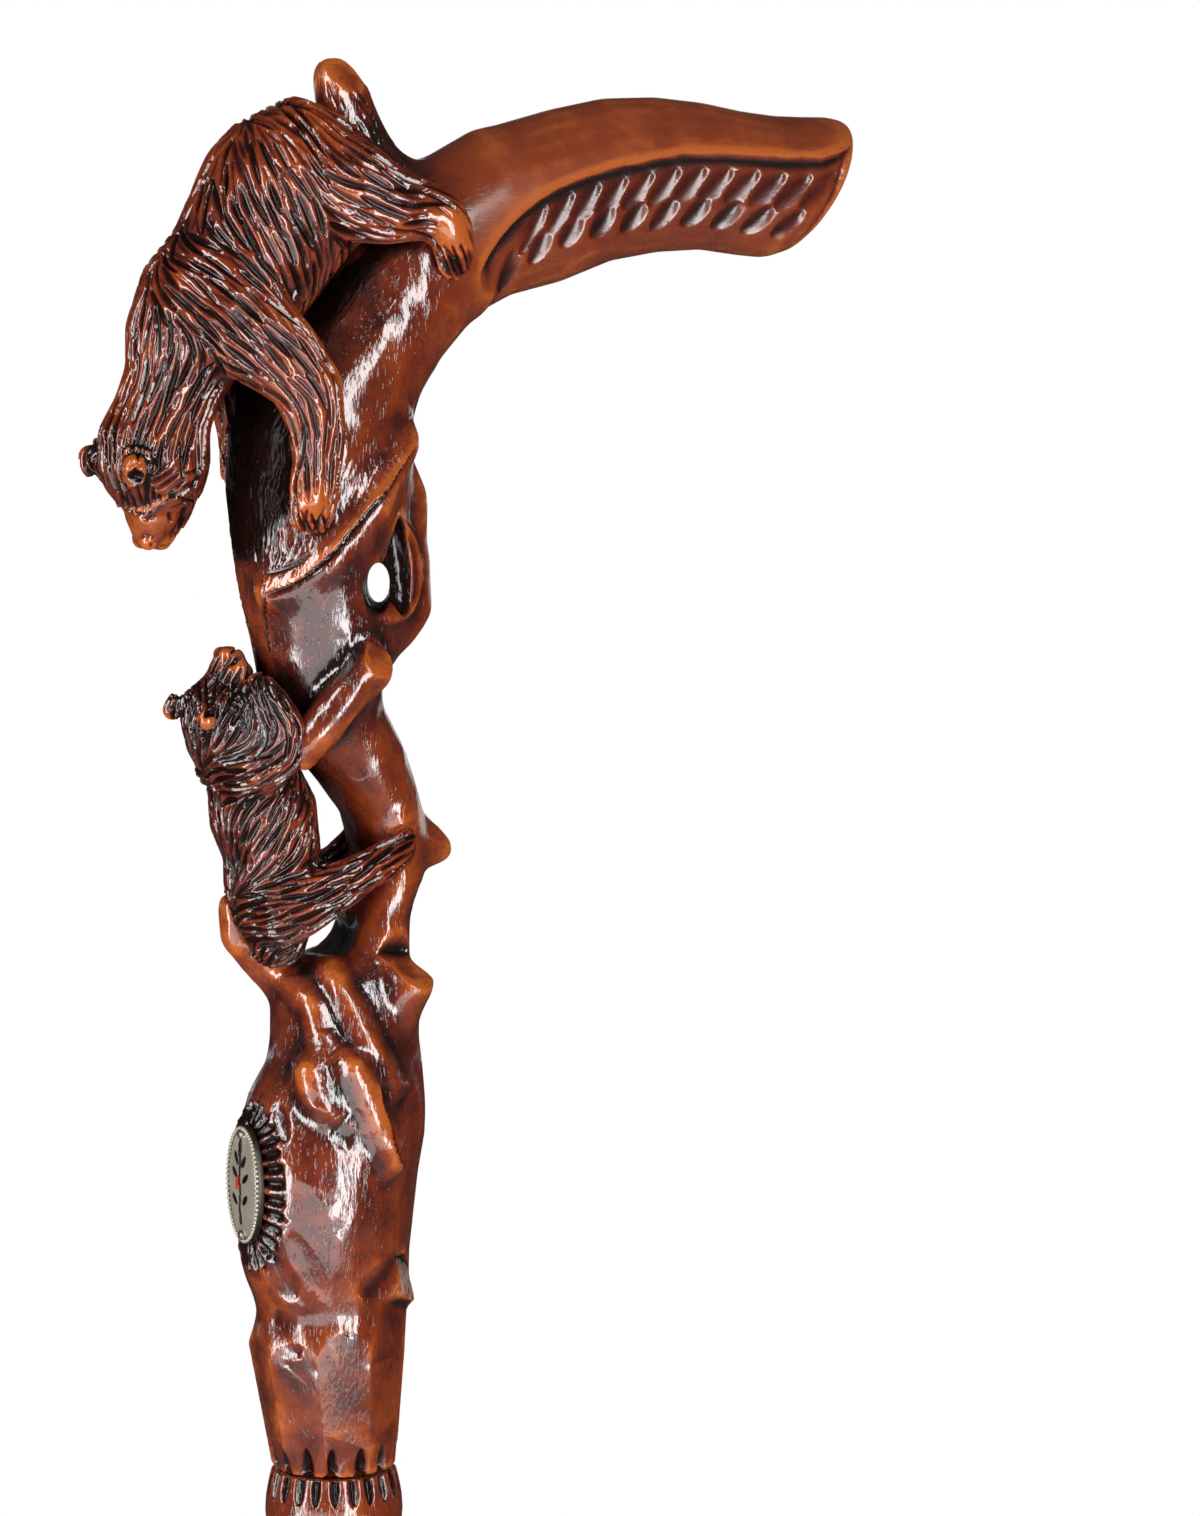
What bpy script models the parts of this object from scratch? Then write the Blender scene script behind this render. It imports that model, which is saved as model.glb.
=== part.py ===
"""A carved walking cane: rubber ferrule, tapered shaft, fluted neck and a head carved as a tree trunk with
a bear, her cub and a grip.

Metres, +Z up. The origin is the centre of the ferrule's sole, the shaft stands on +Z and the grip points
along +X. The carved forms are laid out in millimetres from the foot of the head, as (x, y, height).
"""

import math

import bmesh
import bpy
from mathutils import Matrix, Vector

CLEARANCE = 0.0003

# Ferrule
FERRULE_HEIGHT = 0.0423
FERRULE_FLANGE_HEIGHT = 0.0102
FERRULE_TOP_WALL = 0.0012
FERRULE_FOOT_WALL = 0.0034
FERRULE_FLANGE_WIDTH = 0.0017
FERRULE_SOLE_THICKNESS = 0.008
FERRULE_EDGE = 0.0006
TREAD_DEPTH = 0.0012
TREAD_DISC_RADIUS = 0.0048
TREAD_GROOVE_WIDTH = 0.0014
TREAD_RIB_WIDTH = 0.0025
WASHER_THICKNESS = 0.0015
WASHER_INSET = 0.0006

# Shaft
SHAFT_TIP_RADIUS = 0.0091
SHAFT_TOP_RADIUS = 0.01325
SHAFT_TOP_HEIGHT = 0.551
SHAFT_TIP_CHAMFER = 0.0006
SHAFT_SHOULDER_HEIGHT = 0.0045
SHAFT_SHOULDER_INSET = 0.0022

# Neck
NECK_RING_HEIGHT = 0.0106
NECK_RING_RADIUS = 0.0135
NECK_RING_BULGE = 0.0016
NECK_RING_EDGE = 0.93
FLUTED_HEIGHT = 0.0394
FLUTED_FOOT_RADIUS = 0.0116
FLUTED_BELLY_RADIUS = 0.01425
FLUTED_TOP_RADIUS = 0.0124
FLUTED_BELLY_SHARE = 0.66
FLUTE_DEPTH = 0.0012
FLUTE_COUNT = 10
FLUTE_TURN = math.radians(66)
COLLAR_HEIGHT = 0.0164
COLLAR_RADIUS = 0.01455
COLLAR_EDGE_RADIUS = 0.0131
COLLAR_LEAN = 0.14

# Stud and insert
STUD_RADIUS = 0.004
STUD_IN_SHAFT = 0.034
STUD_IN_HEAD = 0.024
STUD_CHAMFER = 0.0008
INSERT_WALL = 0.0019
INSERT_LENGTH = 0.022
HOLE_END_ROOM = 0.002

# Head. The carving's tables are in this unit, and the voxels melt its crossing forms into one skin.
CARVING_UNIT = 0.001
TRUNK_VOXEL = 0.0013
MOTHER_VOXEL = 0.0011
CUB_VOXEL = 0.0008
GRIP_ROOT = 0.033
MEDALLION_HEIGHT = 0.0622
MEDALLION_INSET = 0.0015
MEDALLION_PROUD = 0.0008
MEDALLION_HALF_HEIGHT = 0.0126
MEDALLION_HALF_WIDTH = 0.008
MEDALLION_THICKNESS = 0.0014
DISH_MARGIN = 0.0012
DISH_SLOPE = 1.5
PIN_RADIUS = 0.0006
PIN_HEAD_RADIUS = 0.0012
PIN_HEAD_HEIGHT = 0.0007
PIN_LENGTH = 0.006
PIN_POINT = 0.001
PIN_FROM_EDGE = 0.0019

# Fineness
ROUND_SIDES = 36
LIMB_SIDES = 16
GRIP_SIDES = 24
PIN_SIDES = 12
STUD_SIDES = 20
INSERT_SIDES = 24
TRUNK_FACES = 3200
MOTHER_FACES = 2400
CUB_FACES = 1500

# Cutters reach this far past what they cut.
OVERRUN = 0.06
DISH_REACH = 0.006

NECK_HEIGHT = NECK_RING_HEIGHT + FLUTED_HEIGHT + COLLAR_HEIGHT
HEAD_FOOT = SHAFT_TOP_HEIGHT + NECK_HEIGHT + 2 * CLEARANCE
HEAD_TOP = HEAD_FOOT + 0.4
SHAFT_FOOT_HEIGHT = FERRULE_SOLE_THICKNESS + WASHER_THICKNESS + 2 * CLEARANCE

# Centre line of the trunk: x, y, height, half size in the grip's plane, half size across it.
# The upper part leans over into the grip, and the part beside the cub is only a stem.
TRUNK_LOWER = (
    (0, 0, -6, 13.2, 13.2),
    (0, 0, 2, 13.5, 13.5),
    (-0.2, 0, 13.5, 15.8, 15.6),
    (-1, 0, 27, 17.4, 16.8),
    (-0.4, 0, 35, 16, 16.4),
    (-1.8, 0, 46, 18.2, 17.6),
    (-2.4, 0, 57, 19.8, 19),
    (-1.6, 0, 68, 20.3, 19.6),
    (2, 0, 78, 18.8, 18.8),
    (3.2, 0, 86, 16.4, 17),
    (3, 0, 92.5, 15.6, 16),
    (3.4, 0, 99, 16, 15.6),
)
TRUNK_STEM = (
    (7, 0, 98, 11, 14),
    (8.8, 0, 110.6, 7.6, 12),
    (10.4, 0, 119, 6.4, 11.2),
    (12.8, 0, 126, 7.2, 11.4),
    (13, 0, 134, 7.8, 11.8),
    (11.2, 0, 141, 8, 12),
    (7.4, 0, 149, 9.4, 12.8),
    (1.2, 0, 158, 10.6, 13.4),
    (-2, 0, 166, 12.8, 14.4),
    (-1, 0, 174, 15.6, 16),
    (0, 0, 182, 18.4, 17.2),
    (-0.4, 0, 189, 19, 18),
    (-2, 0, 197, 18.8, 18.2),
    (-2.4, 0, 207, 19.6, 18.6),
    (-1.8, 0, 217, 19.6, 18.6),
    (0.8, 0, 225.2, 17.8, 18),
    (6.2, 0, 233, 14.8, 17.4),
    (12, 0, 241.4, 14.4, 17.2),
    (19, 0, 251, 16, 17.2),
    (28, 0, 258.2, 17.2, 17),
    (36, 0, 262, 17.8, 16.8),
    (45, 0, 263.8, 18.2, 16.4),
)
# Branch stub behind the bear, cut off at a slant.
BRANCH_STUB = (
    (22, 0, 262, 12, 12),
    (13.4, 0, 268.4, 8.8, 8.6),
    (8, 0, 275.6, 7.6, 7.2),
    (5.6, 0, 281.6, 7, 6.4),
    (3.6, 0, 287.8, 6.4, 5.8),
    (1.6, 0, 292.8, 4.8, 4.8),
)
KNOTS = (
    # twig that runs up to the right below the hole
    ((-6, -6, 161, 4.5, 4.5), (-1, -13, 166, 4.6, 4.6), (3, -18.4, 171, 3.9, 3.9)),
    # pointed knob beside the cub's hind paw
    ((14, 0, 134, 8.4, 8), (20.6, 0, 131.2, 6.6, 6.4), (25.8, 0, 129.8, 3.5, 3.6)),
    # sawn knot below the hollow
    ((6, -6, 93, 9, 9), (10.5, -11, 100.4, 6, 6), (12.8, -14.4, 105, 5, 5)),
    # small knot near the foot
    ((4, -8, 40.4, 7, 7), (8.6, -10.8, 38.6, 5.4, 5.4), (11.4, -12.8, 37.4, 4, 4.4)),
    # lip that runs up across the trunk below the forepaw
    (
        (-17, -7.6, 187, 4.4, 4.4),
        (-8, -15.4, 194, 4.6, 4.6),
        (2, -17.4, 205, 4.6, 4.6),
        (11.6, -12, 218, 4.4, 4.4),
    ),
    # wing at the right of the hole
    (
        (12.6, -3, 213, 4.6, 6.4),
        (16.8, -3, 205, 4.4, 6),
        (16.4, -3, 197, 4.2, 6),
        (17.4, -3, 188, 4.4, 6),
        (17.8, -3, 181.6, 4.4, 6.4),
        (13.4, -3, 175.6, 3.6, 6),
    ),
    # shell of wood behind the cub's rump
    ((-4, 5, 99, 5.4, 6), (-11.2, 6.4, 106, 4.6, 5), (-18.4, 6.6, 114, 4.4, 5), (-20, 6.6, 121, 3.2, 4)),
)
# Lumps as centre and radii
BURR = (
    ((-9.4, -12.6, 87), (5, 4.6, 6)),
    ((-3.4, -16, 87.6), (5, 4.6, 5.4)),
    ((0.6, -18, 78.4), (3.8, 3.4, 6.4)),
    ((5.2, -18, 70.4), (3.2, 3, 6)),
)
# Hollow beside the cub's rump and its mouth, as centre and radii
HOLLOW = (((-1.6, 0, 116), (6, 13, 7.4)), ((-3.4, -10, 117), (6.4, 9, 7.4)))
# The hole through the wing: centre, half width and half height, and how it is turned about the upright
WING_HOLE = (11.5, 0, 187.4)
WING_HOLE_HALF = (2.4, 4.5)
WING_HOLE_TURN = math.radians(26)
WING_HOLE_MOUTH = ((9.4, -17.4, 192), (5, 5.4, 9.4))

# The bear climbs down head first. Her centre line: x, y, height, half size in the grip's plane, half width.
MOTHER_BODY = (
    (3.6, 0, 276.2, 9, 10.4),
    (-2.4, 0, 276, 13.6, 14.4),
    (-6.4, 0, 272.4, 17, 16.4),
    (-9.8, 0, 267, 18.8, 17.2),
    (-14.6, 0, 260.4, 17.4, 16.6),
    (-20.4, 0, 251.8, 16.2, 15.6),
    (-28, 0, 244.6, 15.4, 15.8),
    (-32.6, 0, 237.4, 12.8, 13.6),
    (-34.6, 0, 230.6, 10.4, 11.6),
    (-37.2, 0, 224.4, 10.2, 11.4),
    (-39.2, 0, 219, 11.8, 12.4),
    (-39.4, 0, 213.4, 11.6, 12.8),
    (-39.2, 0, 208.6, 10.2, 10.6),
    (-39.6, 0, 204, 6.6, 6.8),
    (-40.4, 0, 201, 4.6, 5),
    (-40.6, 0, 199.2, 3.4, 4.2),
)
MOTHER_JAW = ((-35.4, 0, 209.6, 5.6, 6), (-35.2, 0, 204.4, 4.4, 5), (-36.2, 0, 201, 3, 4))
MOTHER_HIND_LEG = (
    (-3, -9, 270.4, 12, 9),
    (2.6, -12.6, 268.4, 10.4, 7.6),
    (8.6, -15.2, 265.8, 8, 6.6),
    (15, -16.6, 265.2, 6.4, 5.6),
    (18.8, -17.6, 263.4, 5.6, 4.8),
)
MOTHER_HIND_PAW = (
    (17.6, -16.4, 266, 5, 5),
    (19.6, -17.8, 261.4, 5, 4.6),
    (20.4, -18.2, 256.8, 4.8, 4),
    (20.8, -17.6, 253, 4.4, 3),
)
MOTHER_FORELEG = (
    (-28, -8, 247.4, 13, 9),
    (-23.6, -13, 241.6, 11, 7.6),
    (-17.6, -17, 235.8, 9, 6.8),
    (-13, -19, 229.6, 7.6, 6.2),
    (-11.4, -19.6, 221, 6.2, 5.4),
    (-11.8, -20, 213.4, 5.4, 4.6),
)
MOTHER_FOREPAW = (
    (-12, -19.4, 214.6, 5, 4.6),
    (-12.6, -20.4, 209.8, 5.6, 4.8),
    (-13, -20.4, 205.2, 5.4, 3.8),
    (-13.4, -19.8, 202, 4.6, 2.8),
)
MOTHER_FAR_FORELEG = (
    (-28, 8, 247.4, 13, 9),
    (-23.6, 13, 242, 11, 7.6),
    (-18.6, 17, 236.6, 8.6, 6.8),
    (-14.6, 19, 231.4, 7, 6),
    (-11.6, 19.6, 224, 6, 5.2),
    (-10.6, 19.8, 217, 5.2, 4.6),
    (-11, 19.6, 211.6, 4.8, 4),
    (-11.4, 19, 208, 4, 3),
)
MOTHER_EAR = (-48.6, -11, 214)
MOTHER_EAR_RADII = (2.6, 3.8, 4)

# The cub climbs up and looks up at her.
CUB_BODY = (
    (-12.4, 0, 113, 6.6, 7),
    (-12.8, 0, 118, 9.2, 9.4),
    (-13.2, 0, 124, 10.4, 10.6),
    (-13.4, 0, 132, 10.3, 10.8),
    (-15.4, 0, 140.4, 11.6, 11.4),
    (-18.2, 0, 149.2, 9.6, 10.8),
    (-22, 0, 155.6, 8.6, 8.8),
)
CUB_HEAD = (
    (-23.4, 0, 155.4, 8.6, 8.4),
    (-24.2, 0, 160.4, 9, 9),
    (-24.6, 0, 165, 8.4, 7.6),
    (-23.2, 0, 168, 5.2, 5),
    (-22.8, 0, 170.8, 4.4, 4.4),
    (-22.6, 0, 172.8, 3.6, 3.8),
)
# Fur that fills the corner between the cub's cheek and forearm
CUB_RUFF = ((-20, -5, 149, 7, 6), (-18.8, -7.4, 156, 6.4, 5), (-19.6, -7.6, 163, 5, 4))
CUB_ARM = (
    (-22.6, -6, 149.6, 5.6, 5.4),
    (-20.4, -10.2, 150.8, 5.2, 5),
    (-16.2, -12.6, 154, 4.8, 4.6),
    (-15.6, -13, 159.4, 4.3, 4.2),
    (-17.8, -11.4, 164.4, 3.8, 3.6),
    (-20.4, -8.6, 168.4, 3.6, 3.2),
)
CUB_LEG = (
    (-14.4, -5.4, 121, 8.8, 6.6),
    (-9.8, -9, 122.6, 7.2, 5.4),
    (-4, -11.6, 125.4, 5.4, 4.6),
    (2, -12.4, 128.4, 4.4, 4),
    (7, -12.6, 130.6, 4.2, 3.8),
    (10.4, -12.4, 132.4, 4, 3.4),
    (11.6, -12, 135.2, 3, 2.8),
)
CUB_FAR_LEG = (
    (-14.4, 5.4, 119.6, 8.6, 6.4),
    (-10.6, 9, 120.6, 6.6, 5.2),
    (-5, 11.6, 122.6, 4.8, 4.4),
    (1.4, 12.4, 124.6, 3.9, 3.8),
    (7.6, 12.4, 127.4, 3.7, 3.6),
    (11.6, 12, 131, 3.6, 3.2),
    (12.4, 11.6, 134.6, 2.8, 2.6),
)
CUB_EAR = (-31.8, -7.4, 163)
CUB_EAR_RADII = (2, 2.9, 3.1)

# Grip sections as top (x, height), bottom (x, height) and half width
GRIP_SECTIONS = (
    ((27, 280), (24, 238), 17),
    ((40.5, 281.6), (40.5, 245.6), 16.4),
    ((52.4, 284.4), (52.4, 248), 15.8),
    ((64.4, 286.4), (64.4, 252), 15.2),
    ((76.4, 286.4), (76.4, 253.6), 14.8),
    ((87.6, 285), (87, 253.8), 14.4),
    ((97, 283), (95.6, 252.4), 14.2),
    ((105.2, 281.8), (102, 251.6), 14),
    ((112.4, 281.4), (107.2, 253), 13.4),
    ((118, 281.2), (110.8, 255.8), 12.4),
    ((121.4, 280.4), (113.8, 259.4), 10.6),
    ((122.4, 278.4), (116.6, 264.2), 7.6),
)


def clear_scene():
    for old in list(bpy.data.objects):
        bpy.data.objects.remove(old, do_unlink=True)


def make_material(name, color, roughness, metallic=0.0):
    made = bpy.data.materials.new(name)
    made.use_nodes = True
    shader = made.node_tree.nodes["Principled BSDF"]
    shader.inputs["Base Color"].default_value = (*color, 1.0)
    shader.inputs["Roughness"].default_value = roughness
    shader.inputs["Metallic"].default_value = metallic
    return made


def make_object(name, shape, material=None):
    """The bmesh as a new object in the scene. Without a material it is a hidden helper."""
    mesh = bpy.data.meshes.new(name)
    bmesh.ops.recalc_face_normals(shape, faces=shape.faces[:])
    shape.to_mesh(mesh)
    shape.free()
    made = bpy.data.objects.new(name, mesh)
    bpy.context.scene.collection.objects.link(made)
    if material is None:
        made.hide_render = True
        made.display_type = "WIRE"
    else:
        mesh.materials.append(material)
    return made


def smooth_round(made, angle=35):
    made.data.shade_smooth()
    made.data.set_sharp_from_angle(angle=math.radians(angle))


def at_head(x, y, height):
    """A point of the carving, given in its units from the foot of the head."""
    return Vector((x * CARVING_UNIT, y * CARVING_UNIT, HEAD_FOOT + height * CARVING_UNIT))


def across(station):
    """The same station on the far side of the grip's plane."""
    return (station[0], -station[1], *station[2:])


def join_rings(shape, rings):
    """Skins a row of vertex rings and closes both ends."""
    for low, high in zip(rings, rings[1:]):
        edges = [edge for ring in (low, high) for edge in ring_edges(ring)]
        bmesh.ops.bridge_loops(shape, edges=edges)
    shape.faces.new(rings[0])
    shape.faces.new(reversed(rings[-1]))


def ring_edges(ring):
    found = []
    for vertex, following in zip(ring, ring[1:] + ring[:1]):
        found += [edge for edge in vertex.link_edges if edge.other_vert(vertex) is following]
    return found


def add_ring(shape, centre, first, second, sides):
    """A ring of vertices whose half axes are the vectors first and second."""
    normal = first.cross(second).normalized()
    placed = Matrix((first, second, normal)).transposed().to_4x4()
    placed.translation = centre
    return bmesh.ops.create_circle(shape, cap_ends=False, radius=1, segments=sides, matrix=placed)["verts"]


def add_limb(shape, stations, sides=LIMB_SIDES):
    """A tapering limb through the stations, square to its own run and rounded at both ends."""
    centres = [at_head(*station[:3]) for station in stations]
    rings = []
    last = len(stations) - 1
    for i, station in enumerate(stations):
        run = (centres[min(i + 1, last)] - centres[max(i - 1, 0)]).normalized()
        deep = (Vector((0, 1, 0)) - run * run.y).normalized()
        wide = deep.cross(run)
        size = (station[3] * CARVING_UNIT, station[4] * CARVING_UNIT)
        ends = [(0, 1)]
        if i == 0:
            ends = [(-0.8, 0.5), (-0.45, 0.85), (0, 1)]
        elif i == last:
            ends = [(0, 1), (0.45, 0.85), (0.8, 0.5)]
        for along, share in ends:
            centre = centres[i] + run * along * min(size)
            rings.append(add_ring(shape, centre, wide * size[0] * share, deep * size[1] * share, sides))
    join_rings(shape, rings)


def add_lump(shape, centre, radii, turn=0.0):
    """An ellipsoid with the given radii, turned about the upright."""
    placed = Matrix.Translation(at_head(*centre)) @ Matrix.Rotation(turn, 4, "Z")
    placed = placed @ Matrix.Diagonal((radii[0] * CARVING_UNIT, radii[1] * CARVING_UNIT, radii[2] * CARVING_UNIT, 1))
    bmesh.ops.create_icosphere(shape, subdivisions=3, radius=1, matrix=placed)


def add_modifier(made, kind, **settings):
    modifier = made.modifiers.new(kind.title(), kind)
    for name, value in settings.items():
        setattr(modifier, name, value)
    return modifier


def count_triangles(made):
    graph = bpy.context.evaluated_depsgraph_get()
    mesh = made.evaluated_get(graph).to_mesh()
    mesh.calc_loop_triangles()
    return len(mesh.loop_triangles)


def cut(made, cutter, self_crossing=False):
    modifier = add_modifier(made, "BOOLEAN", object=cutter, operation="DIFFERENCE", solver="EXACT")
    modifier.use_self = self_crossing


def blend_forms(made, voxel, rounds):
    """Melts the crossing forms of a carving into one skin."""
    add_modifier(made, "REMESH", mode="VOXEL", voxel_size=voxel)
    add_modifier(made, "SMOOTH", factor=0.5, iterations=rounds)


def thin_out(made, faces):
    add_modifier(made, "DECIMATE", ratio=faces / count_triangles(made))


def freeze(made):
    """Puts the evaluated shape in the object's own mesh and clears its modifiers."""
    bpy.context.view_layer.update()
    graph = bpy.context.evaluated_depsgraph_get()
    mesh = bpy.data.meshes.new_from_object(made.evaluated_get(graph))
    made.modifiers.clear()
    made.data = mesh


def grown_copy(made, name):
    """A hidden copy that stands proud by the clearance, for cutting what sits against it."""
    copy = bpy.data.objects.new(name, made.data.copy())
    bpy.context.scene.collection.objects.link(copy)
    copy.hide_render = True
    copy.display_type = "WIRE"
    add_modifier(copy, "DISPLACE", strength=1.3 * CLEARANCE, mid_level=0.0)
    freeze(copy)
    return copy


def make_turned(name, profile, material, sides=ROUND_SIDES):
    """A turned piece from its outline as (radius, height), listed once round."""
    shape = bmesh.new()
    rings = []
    for radius, height in profile:
        rings.append(
            add_ring(shape, Vector((0, 0, height)), Vector((radius, 0, 0)), Vector((0, radius, 0)), sides)
        )
    join_rings(shape, rings)
    made = make_object(name, shape, material)
    if material:
        smooth_round(made)
    return made


def make_bored(name, profile, bore, bottom, top, material, sides=ROUND_SIDES):
    """A turned piece with a round hole along its axis from bottom to top."""
    made = make_turned(name, profile, material, sides)
    cut(made, make_turned(f"{name}_bore", ((bore, bottom), (bore, top)), None, sides))
    return made


def make_ferrule(rubber, steel):
    bore = SHAFT_TIP_RADIUS + CLEARANCE
    foot = bore + FERRULE_FOOT_WALL
    flange = foot + FERRULE_FLANGE_WIDTH
    top = bore + FERRULE_TOP_WALL
    edge = FERRULE_EDGE
    profile = (
        (flange - edge, 0),
        (flange, edge),
        (flange, FERRULE_FLANGE_HEIGHT - edge),
        (flange - edge, FERRULE_FLANGE_HEIGHT),
        (foot, FERRULE_FLANGE_HEIGHT + edge),
        (top, FERRULE_HEIGHT - edge),
        (top - edge / 2, FERRULE_HEIGHT),
    )
    ferrule = make_bored("ferrule", profile, bore, FERRULE_SOLE_THICKNESS, FERRULE_HEIGHT + OVERRUN, rubber)
    for turn in range(2):
        inner = TREAD_DISC_RADIUS + turn * (TREAD_GROOVE_WIDTH + TREAD_RIB_WIDTH)
        outer = inner + TREAD_GROOVE_WIDTH
        groove = make_turned(f"tread_{turn}", ((outer, -TREAD_DEPTH), (outer, TREAD_DEPTH)), None)
        cut(groove, make_turned(f"tread_core_{turn}", ((inner, -OVERRUN), (inner, OVERRUN)), None))
        cut(ferrule, groove)
    radius = SHAFT_TIP_RADIUS - WASHER_INSET
    low = FERRULE_SOLE_THICKNESS + CLEARANCE
    make_turned("ferrule_washer", ((radius, low), (radius, low + WASHER_THICKNESS)), steel)


def make_shaft(wood):
    top = SHAFT_TOP_HEIGHT
    profile = [
        (SHAFT_TIP_RADIUS - SHAFT_TIP_CHAMFER, SHAFT_FOOT_HEIGHT),
        (SHAFT_TIP_RADIUS, SHAFT_FOOT_HEIGHT + SHAFT_TIP_CHAMFER),
        (SHAFT_TIP_RADIUS, FERRULE_HEIGHT),
        (SHAFT_TOP_RADIUS, top - SHAFT_SHOULDER_HEIGHT),
    ]
    steps = 5
    for step in range(1, steps + 1):
        angle = math.pi / 2 * step / steps
        radius = SHAFT_TOP_RADIUS - SHAFT_SHOULDER_INSET * (1 - math.cos(angle))
        profile.append((radius, top - SHAFT_SHOULDER_HEIGHT * (1 - math.sin(angle))))
    bottom = top - STUD_IN_SHAFT - HOLE_END_ROOM
    make_bored("shaft", profile, STUD_RADIUS + CLEARANCE, bottom, top + OVERRUN, wood)


def fluted_radius(share):
    """Radius of the fluted barrel at a share of its height."""
    if share < FLUTED_BELLY_SHARE:
        end, way = FLUTED_FOOT_RADIUS, share / FLUTED_BELLY_SHARE
    else:
        end, way = FLUTED_TOP_RADIUS, (1 - share) / (1 - FLUTED_BELLY_SHARE)
    return end + (FLUTED_BELLY_RADIUS - end) * math.sin(math.pi / 2 * way)


def neck_rows():
    """The neck's outline from its foot up, as (radius, height above the foot, depth of the grooves)."""
    rows = []
    steps = 5
    for step in range(steps + 1):
        share = step / steps
        radius = NECK_RING_RADIUS - NECK_RING_BULGE * (1 - math.sin(math.pi * share))
        rows.append((radius, NECK_RING_EDGE * NECK_RING_HEIGHT * share, 0))
    steps = 12
    for step in range(steps + 1):
        share = step / steps
        deep = 0 if step in (0, steps) else FLUTE_DEPTH
        rows.append((fluted_radius(share), NECK_RING_HEIGHT + FLUTED_HEIGHT * share, deep))
    steps = 5
    foot = NECK_RING_HEIGHT + FLUTED_HEIGHT
    for step in range(steps + 1):
        way = step / steps
        swell = math.sin(math.pi * (COLLAR_LEAN + (1 - COLLAR_LEAN) * way))
        bulge = (COLLAR_RADIUS - COLLAR_EDGE_RADIUS) * swell
        rows.append((COLLAR_EDGE_RADIUS + bulge, foot + COLLAR_HEIGHT * (1 - NECK_RING_EDGE * (1 - way)), 0))
    return rows


def make_neck(wood):
    """Lower ring, fluted barrel and collar, bored through for the stud."""
    low = SHAFT_TOP_HEIGHT + CLEARANCE
    shape = bmesh.new()
    rings = []
    for radius, height, deep in neck_rows():
        centre = Vector((0, 0, low + height))
        ring = add_ring(shape, centre, Vector((radius, 0, 0)), Vector((0, radius, 0)), 4 * FLUTE_COUNT)
        share = min(max((height - NECK_RING_HEIGHT) / FLUTED_HEIGHT, 0), 1)
        spin = Matrix.Rotation(FLUTE_TURN * share, 3, "Z")
        for i, vertex in enumerate(ring):
            inset = 1 - deep / radius if i % 4 == 0 else 1
            vertex.co = spin @ Vector((vertex.co.x * inset, vertex.co.y * inset, vertex.co.z))
        rings.append(ring)
    join_rings(shape, rings)
    neck = make_object("neck", shape, wood)
    smooth_round(neck, 28)
    hole = STUD_RADIUS + CLEARANCE
    cut(neck, make_turned("neck_bore", ((hole, low - OVERRUN), (hole, low + NECK_HEIGHT + OVERRUN)), None))


def make_stud(steel):
    low = SHAFT_TOP_HEIGHT - STUD_IN_SHAFT
    high = HEAD_FOOT + STUD_IN_HEAD
    inner = STUD_RADIUS - STUD_CHAMFER
    profile = (
        (inner, low),
        (STUD_RADIUS, low + STUD_CHAMFER),
        (STUD_RADIUS, high - STUD_CHAMFER),
        (inner, high),
    )
    make_turned("stud", profile, steel, STUD_SIDES)


def make_insert(brass):
    low = HEAD_FOOT + CLEARANCE
    hole = STUD_RADIUS + CLEARANCE
    radius = hole + INSERT_WALL
    profile = ((radius, low), (radius, low + INSERT_LENGTH))
    make_bored("head_insert", profile, hole, low - OVERRUN, low + OVERRUN, brass, INSERT_SIDES)


def add_oval(shape, face, back, margin=0.0, slope=0.0):
    """An oval that faces -X at the medallion, from face to back, larger than the plate by the margin.

    With a slope it widens towards the face by that much for each unit of depth.
    """
    rings = []
    for distance, extra in ((face, margin + slope * (face - back)), (back, margin)):
        centre = Vector((-distance, 0, HEAD_FOOT + MEDALLION_HEIGHT))
        half_width = Vector((0, MEDALLION_HALF_WIDTH + extra, 0))
        half_height = Vector((0, 0, MEDALLION_HALF_HEIGHT + extra))
        rings.append(add_ring(shape, centre, half_width, half_height, ROUND_SIDES))
    join_rings(shape, rings)


def add_rod(shape, height, outline):
    """A turned rod along X at the given height, from its outline as (radius, distance from the axis)."""
    rings = []
    for radius, distance in outline:
        centre = Vector((-distance, 0, height))
        rings.append(add_ring(shape, centre, Vector((0, radius, 0)), Vector((0, 0, radius)), PIN_SIDES))
    join_rings(shape, rings)


def trunk_front():
    """Distance from the axis to the trunk's front at the medallion's height."""
    height = MEDALLION_HEIGHT / CARVING_UNIT
    for low, high in zip(TRUNK_LOWER, TRUNK_LOWER[1:]):
        if low[2] <= height < high[2]:
            share = (height - low[2]) / (high[2] - low[2])
            fronts = [station[3] - station[0] for station in (low, high)]
            return (fronts[0] + (fronts[1] - fronts[0]) * share) * CARVING_UNIT


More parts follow.
